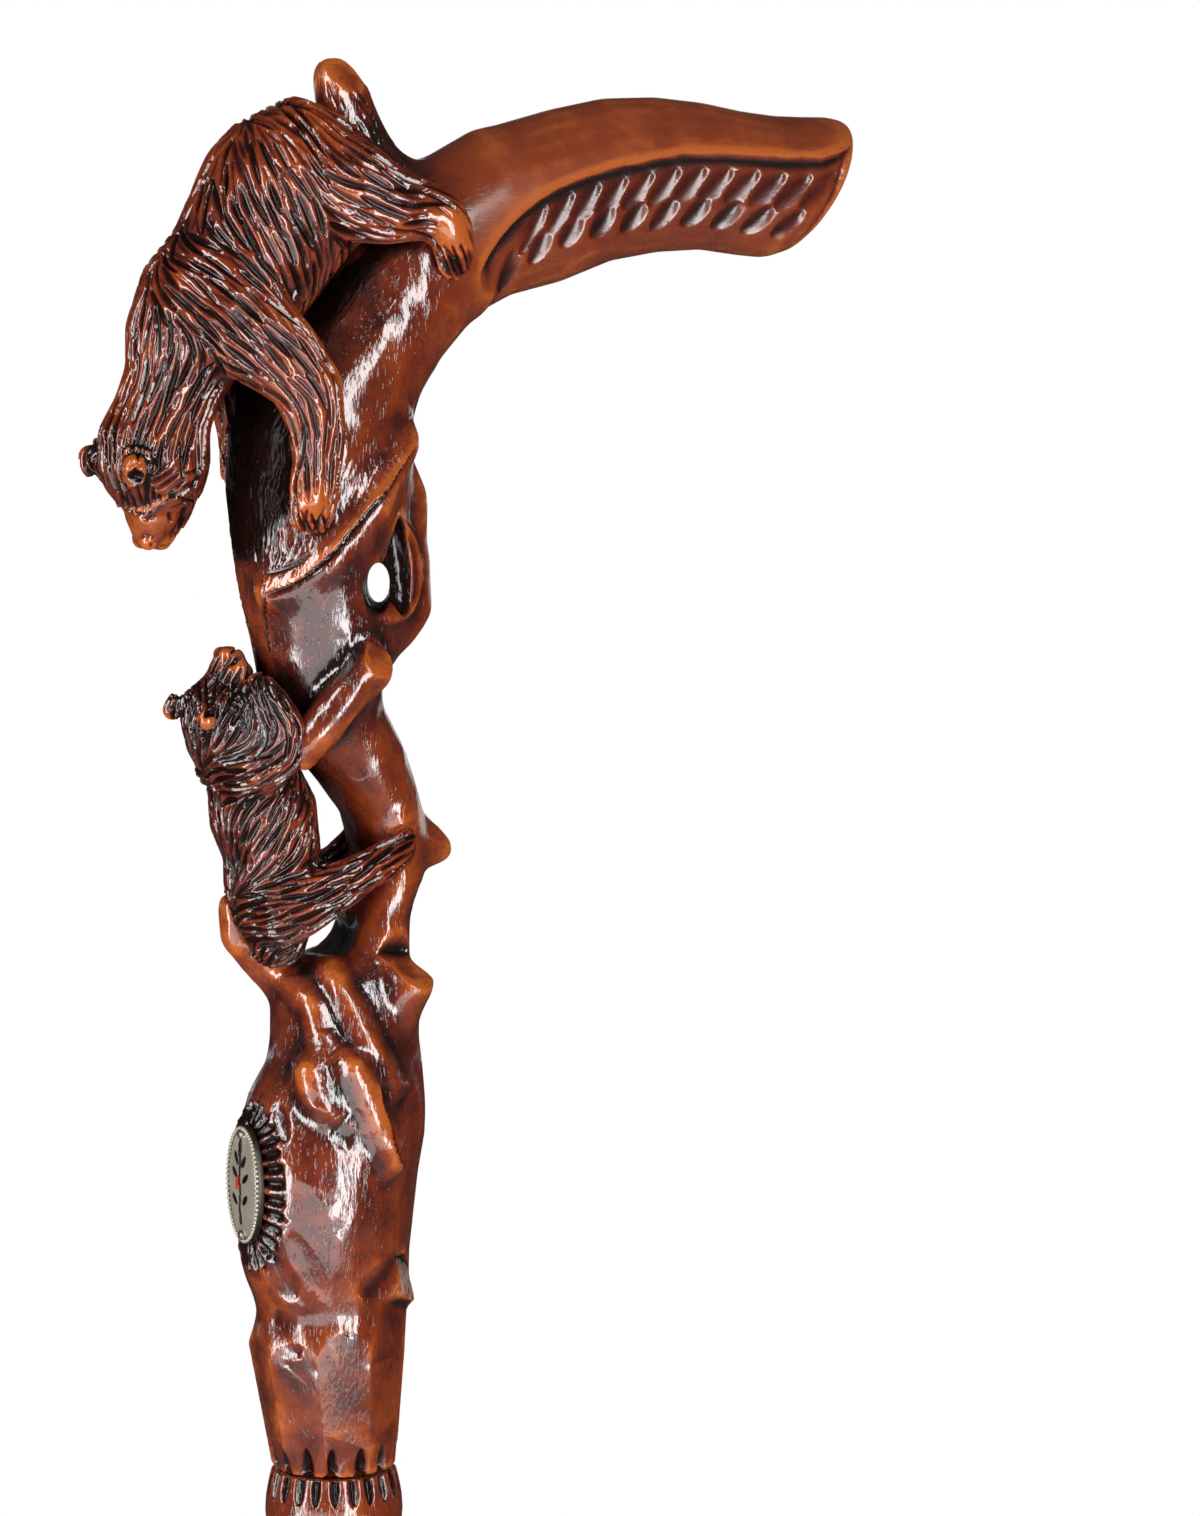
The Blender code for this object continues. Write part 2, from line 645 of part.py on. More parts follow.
def make_medallion(trunk, nickel):
    """The plate in its dish, with a pin at its top and bottom."""
    face = trunk_front() - MEDALLION_INSET
    back = face - MEDALLION_THICKNESS
    outside = face + DISH_REACH
    dish = bmesh.new()
    add_oval(dish, outside, face - MEDALLION_PROUD, DISH_MARGIN, DISH_SLOPE)
    cut(trunk, make_object("medallion_dish", dish))
    pocket = bmesh.new()
    add_oval(pocket, outside, back - CLEARANCE, CLEARANCE)
    cut(trunk, make_object("medallion_pocket", pocket))
    shape = bmesh.new()
    add_oval(shape, face, back)
    plate = make_object("medallion_plate", shape, nickel)
    smooth_round(plate)
    offset = MEDALLION_HALF_HEIGHT - PIN_FROM_EDGE
    for name, side in (("upper", 1), ("lower", -1)):
        height = HEAD_FOOT + MEDALLION_HEIGHT + side * offset
        hole = PIN_RADIUS + CLEARANCE
        bore = bmesh.new()
        add_rod(bore, height, ((hole, outside), (hole, face - PIN_LENGTH - HOLE_END_ROOM)))
        bore = make_object(f"medallion_pin_{name}_hole", bore)
        cut(plate, bore)
        cut(trunk, bore)
        make_pin(f"medallion_pin_{name}", height, face + CLEARANCE, nickel)


def make_pin(name, height, face, nickel):
    """A round-headed nail, its head on the plate's face."""
    outline = (
        (0.45 * PIN_HEAD_RADIUS, face + PIN_HEAD_HEIGHT),
        (0.85 * PIN_HEAD_RADIUS, face + 0.6 * PIN_HEAD_HEIGHT),
        (PIN_HEAD_RADIUS, face),
        (PIN_RADIUS, face),
        (PIN_RADIUS, face - PIN_LENGTH + PIN_POINT),
        (0.3 * PIN_RADIUS, face - PIN_LENGTH),
    )
    shape = bmesh.new()
    add_rod(shape, height, outline)
    smooth_round(make_object(name, shape, nickel))


def make_block(name, low, high):
    shape = bmesh.new()
    size = Vector(high) - Vector(low)
    placed = Matrix.Translation((Vector(low) + Vector(high)) / 2) @ Matrix.Diagonal((*size, 1))
    bmesh.ops.create_cube(shape, size=1, matrix=placed)
    return make_object(name, shape)


def make_wing_hole():
    """The see-through hole, as an oval rod that runs level through the wing."""
    shape = bmesh.new()
    centre = at_head(*WING_HOLE)
    run = Vector((math.sin(WING_HOLE_TURN), math.cos(WING_HOLE_TURN), 0))
    wide = Vector((run.y, -run.x, 0)) * WING_HOLE_HALF[0] * CARVING_UNIT
    tall = Vector((0, 0, WING_HOLE_HALF[1] * CARVING_UNIT))
    rings = []
    for along, share in ((-30, 1.5), (-8, 1), (8, 1), (30, 1.5)):
        rings.append(add_ring(shape, centre + run * along * CARVING_UNIT, wide * share, tall * share, LIMB_SIDES))
    join_rings(shape, rings)
    return make_object("wing_hole", shape)


def make_trunk(wood):
    shape = bmesh.new()
    add_limb(shape, TRUNK_LOWER, 24)
    add_limb(shape, TRUNK_STEM, 24)
    add_limb(shape, BRANCH_STUB)
    for knot in KNOTS:
        add_limb(shape, knot)
    for centre, radii in BURR:
        add_lump(shape, centre, radii)
    trunk = make_object("trunk", shape, wood)
    blend_forms(trunk, TRUNK_VOXEL, 4)
    hollow = bmesh.new()
    for centre, radii in HOLLOW:
        add_lump(hollow, centre, radii)
    hollow = make_object("trunk_hollow", hollow)
    blend_forms(hollow, TRUNK_VOXEL, 2)
    cut(trunk, hollow)
    cut(trunk, make_wing_hole())
    mouth = bmesh.new()
    add_lump(mouth, *WING_HOLE_MOUTH, -WING_HOLE_TURN)
    cut(trunk, make_object("wing_hole_mouth", mouth))
    blend_forms(trunk, TRUNK_VOXEL, 4)
    thin_out(trunk, TRUNK_FACES)
    freeze(trunk)
    grown = grown_copy(trunk, "trunk_grown")
    far = OVERRUN
    cut(trunk, make_block("below_head", (-far, -far, HEAD_FOOT - far), (far, far, HEAD_FOOT)))
    cut(trunk, make_block("beyond_root", (GRIP_ROOT, -far, HEAD_FOOT), (GRIP_ROOT + far, far, HEAD_TOP)))
    hole = STUD_RADIUS + INSERT_WALL + 2 * CLEARANCE
    top = HEAD_FOOT + INSERT_LENGTH + 2 * CLEARANCE
    cut(trunk, make_turned("insert_hole", ((hole, HEAD_FOOT - far), (hole, top)), None, INSERT_SIDES))
    hole = STUD_RADIUS + CLEARANCE
    top = HEAD_FOOT + STUD_IN_HEAD + HOLE_END_ROOM
    cut(trunk, make_turned("stud_hole", ((hole, HEAD_FOOT - far), (hole, top)), None, STUD_SIDES))
    return trunk, grown


def make_grip(wood):
    """The handle, as oval sections between its top and bottom outlines."""
    shape = bmesh.new()
    rings = []
    for (top_x, top), (bottom_x, bottom), half_width in GRIP_SECTIONS:
        high = at_head(top_x, 0, top)
        low = at_head(bottom_x, 0, bottom)
        half = Vector((0, half_width * CARVING_UNIT, 0))
        rings.append(add_ring(shape, (high + low) / 2, half, (high - low) / 2, GRIP_SIDES))
    join_rings(shape, rings)
    grip = make_object("grip", shape, wood)
    smooth_round(grip)
    start = GRIP_ROOT + CLEARANCE
    cut(grip, make_block("before_root", (start - OVERRUN, -OVERRUN, HEAD_FOOT), (start, OVERRUN, HEAD_TOP)))


def add_both_sides(shape, stations):
    add_limb(shape, stations)
    add_limb(shape, [across(station) for station in stations])


def make_mother(wood, trunk_grown):
    shape = bmesh.new()
    add_limb(shape, MOTHER_BODY, 20)
    add_limb(shape, MOTHER_JAW)
    add_both_sides(shape, MOTHER_HIND_LEG)
    add_both_sides(shape, MOTHER_HIND_PAW)
    add_limb(shape, MOTHER_FORELEG)
    add_limb(shape, MOTHER_FOREPAW)
    add_limb(shape, MOTHER_FAR_FORELEG)
    add_lump(shape, MOTHER_EAR, MOTHER_EAR_RADII)
    add_lump(shape, across(MOTHER_EAR), MOTHER_EAR_RADII)
    bear = make_object("mother_bear", shape, wood)
    blend_forms(bear, MOTHER_VOXEL, 3)
    thin_out(bear, MOTHER_FACES)
    freeze(bear)
    cut(bear, trunk_grown, True)


def make_cub(wood, trunk_grown):
    shape = bmesh.new()
    add_limb(shape, CUB_BODY)
    add_limb(shape, CUB_HEAD)
    add_both_sides(shape, CUB_ARM)
    add_both_sides(shape, CUB_RUFF)
    add_limb(shape, CUB_LEG)
    add_limb(shape, CUB_FAR_LEG)
    add_lump(shape, CUB_EAR, CUB_EAR_RADII)
    add_lump(shape, across(CUB_EAR), CUB_EAR_RADII)
    cub = make_object("bear_cub", shape, wood)
    blend_forms(cub, CUB_VOXEL, 2)
    thin_out(cub, CUB_FACES)
    freeze(cub)
    cut(cub, trunk_grown, True)


def main():
    clear_scene()
    rubber = make_material("black_rubber", (0.018, 0.018, 0.02), 0.75)
    steel = make_material("steel", (0.56, 0.56, 0.58), 0.35, 1.0)
    brass = make_material("brass", (0.72, 0.53, 0.25), 0.35, 1.0)
    nickel = make_material("antique_nickel", (0.5, 0.47, 0.42), 0.4, 1.0)
    shaft_wood = make_material("stained_ash", (0.16, 0.035, 0.018), 0.3)
    neck_wood = make_material("neck_mahogany", (0.15, 0.03, 0.016), 0.28)
    trunk_wood = make_material("trunk_mahogany", (0.2, 0.045, 0.018), 0.25)
    grip_wood = make_material("grip_mahogany", (0.3, 0.085, 0.025), 0.22)
    bear_wood = make_material("bear_mahogany", (0.14, 0.032, 0.015), 0.3)
    cub_wood = make_material("cub_mahogany", (0.11, 0.026, 0.013), 0.3)
    make_ferrule(rubber, steel)
    make_shaft(shaft_wood)
    make_neck(neck_wood)
    make_stud(steel)
    make_insert(brass)
    trunk, trunk_grown = make_trunk(trunk_wood)
    make_medallion(trunk, nickel)
    make_grip(grip_wood)
    make_mother(bear_wood, trunk_grown)
    make_cub(cub_wood, trunk_grown)


main()
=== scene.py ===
"""Looks of the carved walking cane: chisel work, fur, stain, lacquer and a plain studio round its solids."""

import math

import bmesh
import bpy
import numpy as np
from bpy.props import FloatProperty, FloatVectorProperty, IntProperty, PointerProperty
from mathutils import Matrix, Vector
from mathutils.bvhtree import BVHTree
from mathutils.kdtree import KDTree


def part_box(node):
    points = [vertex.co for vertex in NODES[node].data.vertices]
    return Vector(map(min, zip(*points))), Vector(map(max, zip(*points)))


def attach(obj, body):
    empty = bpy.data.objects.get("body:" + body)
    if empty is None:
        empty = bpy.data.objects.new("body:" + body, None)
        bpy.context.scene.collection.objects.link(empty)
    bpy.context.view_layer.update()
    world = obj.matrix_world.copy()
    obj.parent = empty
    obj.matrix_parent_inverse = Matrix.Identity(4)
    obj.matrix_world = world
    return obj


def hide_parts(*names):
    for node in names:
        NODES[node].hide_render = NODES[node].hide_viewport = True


bl_info = {
    "name": "Carved Cane Finish",
    "version": (1, 0, 0),
    "blender": (4, 5, 0),
    "location": "3D View > Sidebar > Cane",
    "description": "Carves and stains the walking cane and sets it in a plain studio",
    "category": "Object",
}

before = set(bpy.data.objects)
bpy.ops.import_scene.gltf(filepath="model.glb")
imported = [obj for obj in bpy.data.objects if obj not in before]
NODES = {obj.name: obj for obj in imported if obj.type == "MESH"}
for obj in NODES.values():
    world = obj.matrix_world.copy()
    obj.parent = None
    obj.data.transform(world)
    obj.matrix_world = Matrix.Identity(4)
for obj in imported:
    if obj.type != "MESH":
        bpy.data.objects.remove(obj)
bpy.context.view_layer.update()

MM = 0.001
HEAD_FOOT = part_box("trunk")[0].z
HEAD_PIECES = ("trunk", "grip", "mother_bear", "bear_cub")

PHOTO_WIDTH, PHOTO_HEIGHT = 1200, 1516
PHOTO_SCALE = 0.2093e-3
CAMERA_TURN = math.radians(-27.5)
CAMERA_RISE = math.radians(8.2)
CAMERA_DISTANCE = 1.415
SENSOR = 36.0
AXIS_PIXEL = 331
MIDDLE_HEIGHT = 0.1508
LENS_TRIM = 1.005
SIDES = (False, True)  # the photographed side and the far one
# Triangles kept of each carved mesh.
LARGE_MESH, SHAFT_MESH, SMALL_MESH, FERRULE_MESH = 196000, 190000, 150000, 120000


def camera_axes():
    """Right, up and back of the camera that took the photograph."""
    right = Vector((math.cos(CAMERA_TURN), math.sin(CAMERA_TURN), 0))
    flat_back = Vector((math.sin(CAMERA_TURN), -math.cos(CAMERA_TURN), 0))
    back = flat_back * math.cos(CAMERA_RISE) + Vector((0, 0, math.sin(CAMERA_RISE)))
    return right, back.cross(right), back


def camera_place():
    """The camera's position and the focal length that gives the photograph's scale."""
    right, _, back = camera_axes()
    aim = right * (PHOTO_WIDTH / 2 - AXIS_PIXEL) * PHOTO_SCALE + Vector((0, 0, HEAD_FOOT + MIDDLE_HEIGHT))
    lens = SENSOR * CAMERA_DISTANCE / (PHOTO_HEIGHT * PHOTO_SCALE) * LENS_TRIM
    return aim + back * CAMERA_DISTANCE, lens


def sight_line(px, py):
    """Start and direction of the line of sight through a pixel of the photograph."""
    right, up, back = camera_axes()
    eye, lens = camera_place()
    across = (px - PHOTO_WIDTH / 2) * SENSOR / PHOTO_HEIGHT
    down = (py - PHOTO_HEIGHT / 2) * SENSOR / PHOTO_HEIGHT
    return eye, (right * across - up * down - back * lens).normalized()


def colour(name, description, *default):
    return FloatVectorProperty(name=name, description=description, subtype="COLOR", size=3, default=default)


def measure(name, description, default, least):
    return FloatProperty(name=name, description=description, default=default, min=least, unit="LENGTH")


class CaneStain(bpy.types.PropertyGroup):
    """Colours of the stain and the lacquer."""

    # The lowest colours of the ramp also give the painted shade of hollows and of places that see little
    # open space.
    deep: colour("Deep", "Stain left in the cuts", 0.011, 0.004, 0.003)
    dark: colour("Dark", "Between the deep stain and the maroon", 0.034, 0.008, 0.005)
    maroon: colour("Maroon", "Shaded hollows", 0.08, 0.011, 0.007)
    red: colour("Red", "Stain on the trunk", 0.18, 0.026, 0.008)
    grip: colour("Grip", "Smooth top of the grip", 0.27, 0.044, 0.008)
    worn: colour("Worn", "Edges rubbed back", 0.52, 0.115, 0.018)
    lacquer: FloatProperty(
        name="Lacquer roughness", description="How soft the lacquer's gloss is", default=0.12, min=0, max=1
    )


class CaneFur(bpy.types.PropertyGroup):
    """Sizes of the gouge cuts that make the fur."""

    length: measure("Length", "Length of a long cut", 10 * MM, MM)
    width: measure("Width", "Width of a long cut", 1.75 * MM, 0.1 * MM)
    depth: measure("Depth", "Depth of a long cut", 0.9 * MM, 0.1 * MM)
    seed: IntProperty(name="Seed", description="Start of the random order of the cuts", default=5)


class CaneMetal(bpy.types.PropertyGroup):
    """Colours of the small fittings."""

    nickel: colour("Nickel", "Worn metal of the plate", 0.82, 0.72, 0.6)
    enamel: colour("Enamel", "Small enamel drop on the plate", 0.7, 0.05, 0.02)
    brass: colour("Brass", "Threaded insert", 0.72, 0.53, 0.25)
    steel: colour("Steel", "Stud and washer", 0.56, 0.56, 0.58)
    rubber: colour("Rubber", "Ferrule", 0.016, 0.016, 0.017)


class CaneStudio(bpy.types.PropertyGroup):
    """Light and floor of the studio."""

    floor: colour("Floor", "Colour of the floor", 0.9, 0.9, 0.9)
    sky: FloatProperty(name="Sky", description="Level of the even light", default=0.16, min=0, max=2)
    key: FloatProperty(name="Key", description="Power of the two main lamps in watts", default=15, min=0)
    low: FloatProperty(name="Low", description="Power of the low front lamp in watts", default=3.6, min=0)
    fill: FloatProperty(name="Fill", description="Power of the top lamp in watts", default=3, min=0)


def stain():
    return bpy.context.scene.cane_stain


def metal():
    return bpy.context.scene.cane_metal


class Wire:
    """An output of a material's node. Arithmetic on it adds the nodes that work it out."""

    def __init__(self, finish, socket):
        self.finish = finish
        self.socket = socket

    def sum(self, operation, *values):
        return self.finish.add("ShaderNodeMath", {"operation": operation}, values)

    def __add__(self, other):
        return self.sum("ADD", self, other)

    def __radd__(self, other):
        return self.sum("ADD", other, self)

    def __sub__(self, other):
        return self.sum("SUBTRACT", self, other)

    def __rsub__(self, other):
        return self.sum("SUBTRACT", other, self)

    def __mul__(self, other):
        return self.sum("MULTIPLY", self, other)

    def __rmul__(self, other):
        return self.sum("MULTIPLY", other, self)

    def lesser(self, other):
        return self.sum("MINIMUM", self, other)

    def greater(self, other):
        return self.sum("MAXIMUM", self, other)

    def step(self, low, high):
        """0 below low, 1 above high and smooth between them."""
        return self.finish.add(
            "ShaderNodeMapRange",
            {"interpolation_type": "SMOOTHSTEP"},
            {"Value": self, "From Min": low, "From Max": high},
        )


class Finish:
    """A material under construction, with one method that adds any node."""

    def __init__(self, name):
        self.material = bpy.data.materials.new(name)
        self.start(self.material, "ShaderNodeOutputMaterial")

    def start(self, owner, output):
        owner.use_nodes = True
        self.tree = owner.node_tree
        self.tree.nodes.clear()
        self.output = self.tree.nodes.new(output)

    def end(self, shader):
        """Shows the shader or background and gives the material."""
        self.tree.links.new(shader.socket, self.output.inputs["Surface"])
        return self.material

    def add(self, kind, settings=None, inputs=None, out=0):
        """Adds a node: its settings first, then the values or wires of its sockets."""
        node = self.tree.nodes.new(kind)
        for name, value in (settings or {}).items():
            if name == "stops":
                self.set_stops(node.color_ramp, value)
            else:
                setattr(node, name, value)
        pairs = inputs.items() if isinstance(inputs, dict) else enumerate(inputs or ())
        for name, value in pairs:
            socket = node.inputs[name]
            if isinstance(value, Wire):
                self.tree.links.new(value.socket, socket)
            else:
                socket.default_value = value
        return Wire(self, node.outputs[out])

    def set_stops(self, ramp, stops):
        while len(ramp.elements) < len(stops):
            ramp.elements.new(0.5)
        for element, (place, tone) in zip(ramp.elements, stops):
            element.position = place
            element.color = tone

    def place(self, scale=(1, 1, 1), turn=(0, 0, 0), name=""):
        """Object coordinates, or the named vector attribute, stretched by scale."""
        if name:
            source = self.add("ShaderNodeAttribute", {"attribute_name": name}, out="Vector")
        else:
            source = self.add("ShaderNodeTexCoord", out="Object")
        return self.add("ShaderNodeMapping", None, {"Vector": source, "Rotation": turn, "Scale": scale})

    def value(self, name):
        """A number kept at the piece's points."""
        return self.add("ShaderNodeAttribute", {"attribute_name": name}, out="Fac")

    def noise(self, place, scale, detail=3.0, roughness=0.6, distortion=0.0):
        names = ("Vector", "Scale", "Detail", "Roughness", "Distortion")
        values = (place, scale, detail, roughness, distortion)
        return self.add("ShaderNodeTexNoise", None, dict(zip(names, values)))

    def mix(self, factor, first, second):
        """Colour between first and second."""
        return self.add("ShaderNodeMix", {"data_type": "RGBA"}, {0: factor, 6: first, 7: second}, out=2)

    def bump(self, height, distance, strength):
        inputs = {"Height": height, "Distance": distance, "Strength": strength}
        return self.add("ShaderNodeBump", None, inputs)

    def ahead(self, place):
        """How far a place lies along the studio camera's line of sight."""
        settings = {"operation": "DOT_PRODUCT"}
        return self.add("ShaderNodeVectorMath", settings, {0: place, 1: -camera_axes()[2]}, out="Value")

    def rays(self, kind):
        """1 for rays of a kind: Camera, Glossy or Transmission."""
        return self.add("ShaderNodeLightPath", out=f"Is {kind} Ray")

    def shader(self, **sockets):
        """The principled shader, with sockets named in words joined by underscores."""
        names = {key.replace("_", " ").title().replace("Ior", "IOR"): item for key, item in sockets.items()}
        return self.add("ShaderNodeBsdfPrincipled", None, names)

    def surface(self, **sockets):
        return self.end(self.shader(**sockets))

    def stained(self, tone, places):
        """The stain's colour for a tone, from the deep stain up to the lightest of the places' colours."""
        tint = stain()
        colours = (tint.deep, tint.dark, tint.maroon, tint.red, tint.grip, tint.worn)
        stops = [(place, opaque(item)) for place, item in zip(places, colours)]
        return self.add("ShaderNodeValToRGB", {"stops": stops}, {0: tone})


class Sky(Finish):
    """The studio's even light, built as a material is."""

    def __init__(self, name):
        self.material = bpy.data.worlds.new(name)
        self.start(self.material, "ShaderNodeOutputWorld")


def dress(piece, material):
    piece.data.materials.clear()
    piece.data.materials.append(material)


def opaque(tone):
    return (tone[0], tone[1], tone[2], 1)


def new_piece(name, shape):
    """Makes an object of a bmesh, its place in its mesh."""
    mesh = bpy.data.meshes.new(name)
    shape.to_mesh(mesh)
    shape.free()
    piece = bpy.data.objects.new(name, mesh)
    bpy.context.scene.collection.objects.link(piece)
    return piece


def settle(piece, kind, **settings):
    """Adds one modifier and makes its result the piece's mesh."""
    modifier = piece.modifiers.new(kind.title(), kind)
    for name, value in settings.items():
        setattr(modifier, name, value)
    graph = bpy.context.evaluated_depsgraph_get()
    mesh = bpy.data.meshes.new_from_object(piece.evaluated_get(graph))
    old = piece.data
    piece.modifiers.clear()
    piece.data = mesh
    bpy.data.meshes.remove(old)
    mesh.name = piece.name
    return piece


def smooth_shade(piece):
    piece.data.polygons.foreach_set("use_smooth", [True] * len(piece.data.polygons))


def head_point(row):
    """A point given in millimetres from the middle of the head's foot."""
    return Vector((row[0] * MM, row[1] * MM, row[2] * MM + HEAD_FOOT))


def add_chain(shape, rows, sides=20):
    """A limb through stations: each has its centre in millimetres and its radius."""
    rings = []
    centres = [head_point(row) for row in rows]
    for row, centre, behind, ahead in zip(rows, centres, centres[:1] + centres, centres[1:] + centres[-1:]):
        place = Matrix.Translation(centre) @ (ahead - behind).to_track_quat("Z", "Y").to_matrix().to_4x4()
        made = bmesh.ops.create_circle(shape, radius=row[3] * MM, segments=sides, matrix=place)
        rings.append(made["verts"])
    for lower, upper in zip(rings, rings[1:]):
        edges = [e for ring in (lower, upper) for e in ring_edges(ring)]
        bmesh.ops.bridge_loops(shape, edges=edges)
    for ring in (rings[0], rings[-1]):
        bmesh.ops.holes_fill(shape, edges=ring_edges(ring), sides=0)


def ring_edges(ring):
    inside = set(ring)
    edges = (edge for vert in ring for edge in vert.link_edges if edge.other_vert(vert) in inside)
    return list(dict.fromkeys(edges))


def copy_nodes(name, nodes):
    """A merged copy of the CAD nodes' meshes."""
    shape = bmesh.new()
    for node in nodes:
        part = NODES[node].data.copy()
        shape.from_mesh(part)
        bpy.data.meshes.remove(part)
    bmesh.ops.remove_doubles(shape, verts=shape.verts, dist=0.002 * MM)
    bmesh.ops.recalc_face_normals(shape, faces=shape.faces)
    return new_piece(name, shape)


def melt(piece, voxel, rounds):
    """Remeshes the piece evenly and smooths it, so that no facet is left."""
    settle(piece, "REMESH", mode="VOXEL", voxel_size=voxel * MM)
    settle(piece, "SMOOTH", factor=0.5, iterations=rounds)


def join_form(piece, shape):
    """Adds a bmesh of closed forms to the piece's mesh, to be fused by the next remesh."""
    whole = bmesh.new()
    whole.from_mesh(piece.data)
    extra = bpy.data.meshes.new("extra")
    bmesh.ops.recalc_face_normals(shape, faces=shape.faces)
    shape.to_mesh(extra)
    shape.free()
    whole.from_mesh(extra)
    bpy.data.meshes.remove(extra)
    whole.to_mesh(piece.data)
    whole.free()


def curve_through(rows, step):
    """Points about a step apart on a smooth curve through the rows."""
    rows = np.array(rows, float)
    padded = np.vstack([2 * rows[0] - rows[1], rows, 2 * rows[-1] - rows[-2]])
    found = []
    for before, start, end, after in zip(padded, padded[1:], padded[2:], padded[3:]):
        count = max(2, int(np.linalg.norm(end - start) / step))
        way = np.arange(count)[:, None] / count
        found.append(
            0.5 * (
                2 * start + (end - before) * way + (2 * before - 5 * start + 4 * end - after) * way**2
                + (3 * start - before - 3 * end + after) * way**3
            )
        )
    return np.vstack(found + [rows[-1:]])


def unit(vector):
    vector = np.array(vector, float)
    return vector / np.linalg.norm(vector)


def rows_of(items, name):
    """One vector of each item, such as a vertex's place."""
    values = np.empty(len(items) * 3, np.float32)
    items.foreach_get(name, values)
    return values.reshape(-1, 3)


def tree_of(points):
    """What finds the nearest of the points."""
    tree = KDTree(len(points))
    for index, point in enumerate(points):
        tree.insert(point, index)
    tree.balance()
    return tree


def ends_of(share, taper):
    """1 along a line, falling to 0 at both ends of its run."""
    return np.clip(np.minimum(share, 1 - share) / taper, 0, 1) ** 0.7


class Carving:
    """The cuts made in a finely meshed piece: how far each point moves, and how it is stained."""

    def __init__(self, piece, seed=1):
        self.piece = piece
        self.count = len(piece.data.vertices)
        edges = np.empty(len(piece.data.edges) * 2, np.int32)
        piece.data.edges.foreach_get("vertices", edges)
        self.edges = edges.reshape(-1, 2)
        self.valence = np.maximum(np.bincount(edges, minlength=self.count), 1)
        self.cut = np.zeros(self.count)
        self.depth = np.zeros(self.count)
        self.lift = np.zeros(self.count)
        self.marks = {}
        self.random = np.random.default_rng(seed)
        self.look()

    def look(self):
        """Reads the mesh again: places, normals, and what finds the nearest points and where a line hits."""
        mesh = self.piece.data
        self.points = rows_of(mesh.vertices, "co").astype(float)
        self.normals = rows_of(mesh.vertex_normals, "vector").astype(float)
        self.near = tree_of(self.points)
        bpy.context.view_layer.update()
        self.tree = BVHTree.FromObject(self.piece, bpy.context.evaluated_depsgraph_get())

    def bake(self, stained=True):
        """Moves the mesh's points by what was lifted and cut so far. A stained cut is remembered."""
        self.points += self.normals * (self.lift - self.cut)[:, None]
        if stained:
            self.depth = np.maximum(self.depth, self.cut)
        self.cut = np.zeros(self.count)
        self.lift = np.zeros(self.count)
        self.piece.data.vertices.foreach_set("co", self.points.astype(np.float32).ravel())
        self.piece.data.update()
        self.look()

    def spot(self, px, py, far=False):
        """The place on the surface behind a pixel of the photograph, or its mirror image on the far side."""
        start, way = sight_line(px, py)
        place = self.tree.ray_cast(start, way)[0]
        if place is None:
            place = self.tree.find_nearest(start + way * (CAMERA_DISTANCE - 0.01))[0]
        if far:
            place = self.tree.find_nearest(Vector((place.x, -place.y, place.z)))[0]
        return np.array(place)

    def normal_at(self, place, reach=0.0012):
        """The mean normal around a place."""
        found = self.around(place, reach)
        if len(found) == 0:
            return self.normals[self.near.find(place)[1]]
        return unit(self.normals[found].mean(0))

    def trace(self, pixels, far=False, step=2.0):
        """A line on the surface, drawn smoothly through pixels of the photograph.

        On the far side it runs the other way, so that its left stays the same side of the form.
        """
        path = np.array([self.spot(px, py, far) for px, py in curve_through(pixels, step)])
        return path[::-1] if far else path

    def beside(self, path, reach):
        """The points near a line: their numbers, distance to its left, and share of its run."""
        found = [self.around(place, reach) for place in path[::2]]
        index = np.unique(np.concatenate(found + [[]])).astype(int)
        line = tree_of(path)
        pick = np.fromiter((line.find(point)[1] for point in self.points[index]), int, len(index))
        tangent = np.gradient(path, axis=0)
        side = np.cross(self.normals[index], tangent[pick])
        side /= np.maximum(np.linalg.norm(side, axis=1), 1e-9)[:, None]
        across = np.einsum("ij,ij->i", self.points[index] - path[pick], side)
        return index, across, pick / (len(path) - 1)

    def groove(self, path, width, depth, power=1.3, taper=0.2):
        """A cut along a line, running out at both ends."""
        index, across, share = self.beside(path, width)
        ends = np.sqrt(np.clip(np.minimum(share, 1 - share) / taper, 0.02, 1))
        level = depth * ends * np.clip(1 - np.abs(across / (width * 0.5 * ends)) ** power, 0, 1)
        self.cut[index] = np.maximum(self.cut[index], level)

    def lip(self, path, drop, reach, rise=0.0, roll=0.002, taper=0.15):
        """An edge along a line: to its right the surface drops and comes back, to its left it rolls up."""
        index, across, share = self.beside(path, max(reach, roll))
        low = np.where(across < 0, drop * (1 - np.clip(-across / reach, 0, 1)) ** 2, 0)
        high = np.where(across >= 0, rise * (1 - np.clip(across / roll, 0, 1)) ** 2, 0)
        self.lift[index] += (high - low) * ends_of(share, taper)

    def ridge(self, path, width, rise, taper=0.2):
        """A rounded ridge along a line, or a valley where rise is negative."""
        index, across, share = self.beside(path, width)
        level = np.clip(1 - (across / (width * 0.5)) ** 2, 0, 1) ** 2
        self.lift[index] += rise * ends_of(share, taper) * level

    def relax(self, weight, rounds):
        """Smooths the surface where the weight is above 0."""
        self.points += (self.spread(self.points, rounds) - self.points) * np.asarray(weight, float)[:, None]

    def mound(self, centre, radius, rise, power=2.0):
        """A soft swelling, or a dent where rise is negative."""
        index = self.around(centre, radius)
        gap = np.linalg.norm(self.points[index] - np.array(centre), axis=1) / radius
        self.lift[index] += rise * np.clip(1 - gap**power, 0, 1) ** 1.5

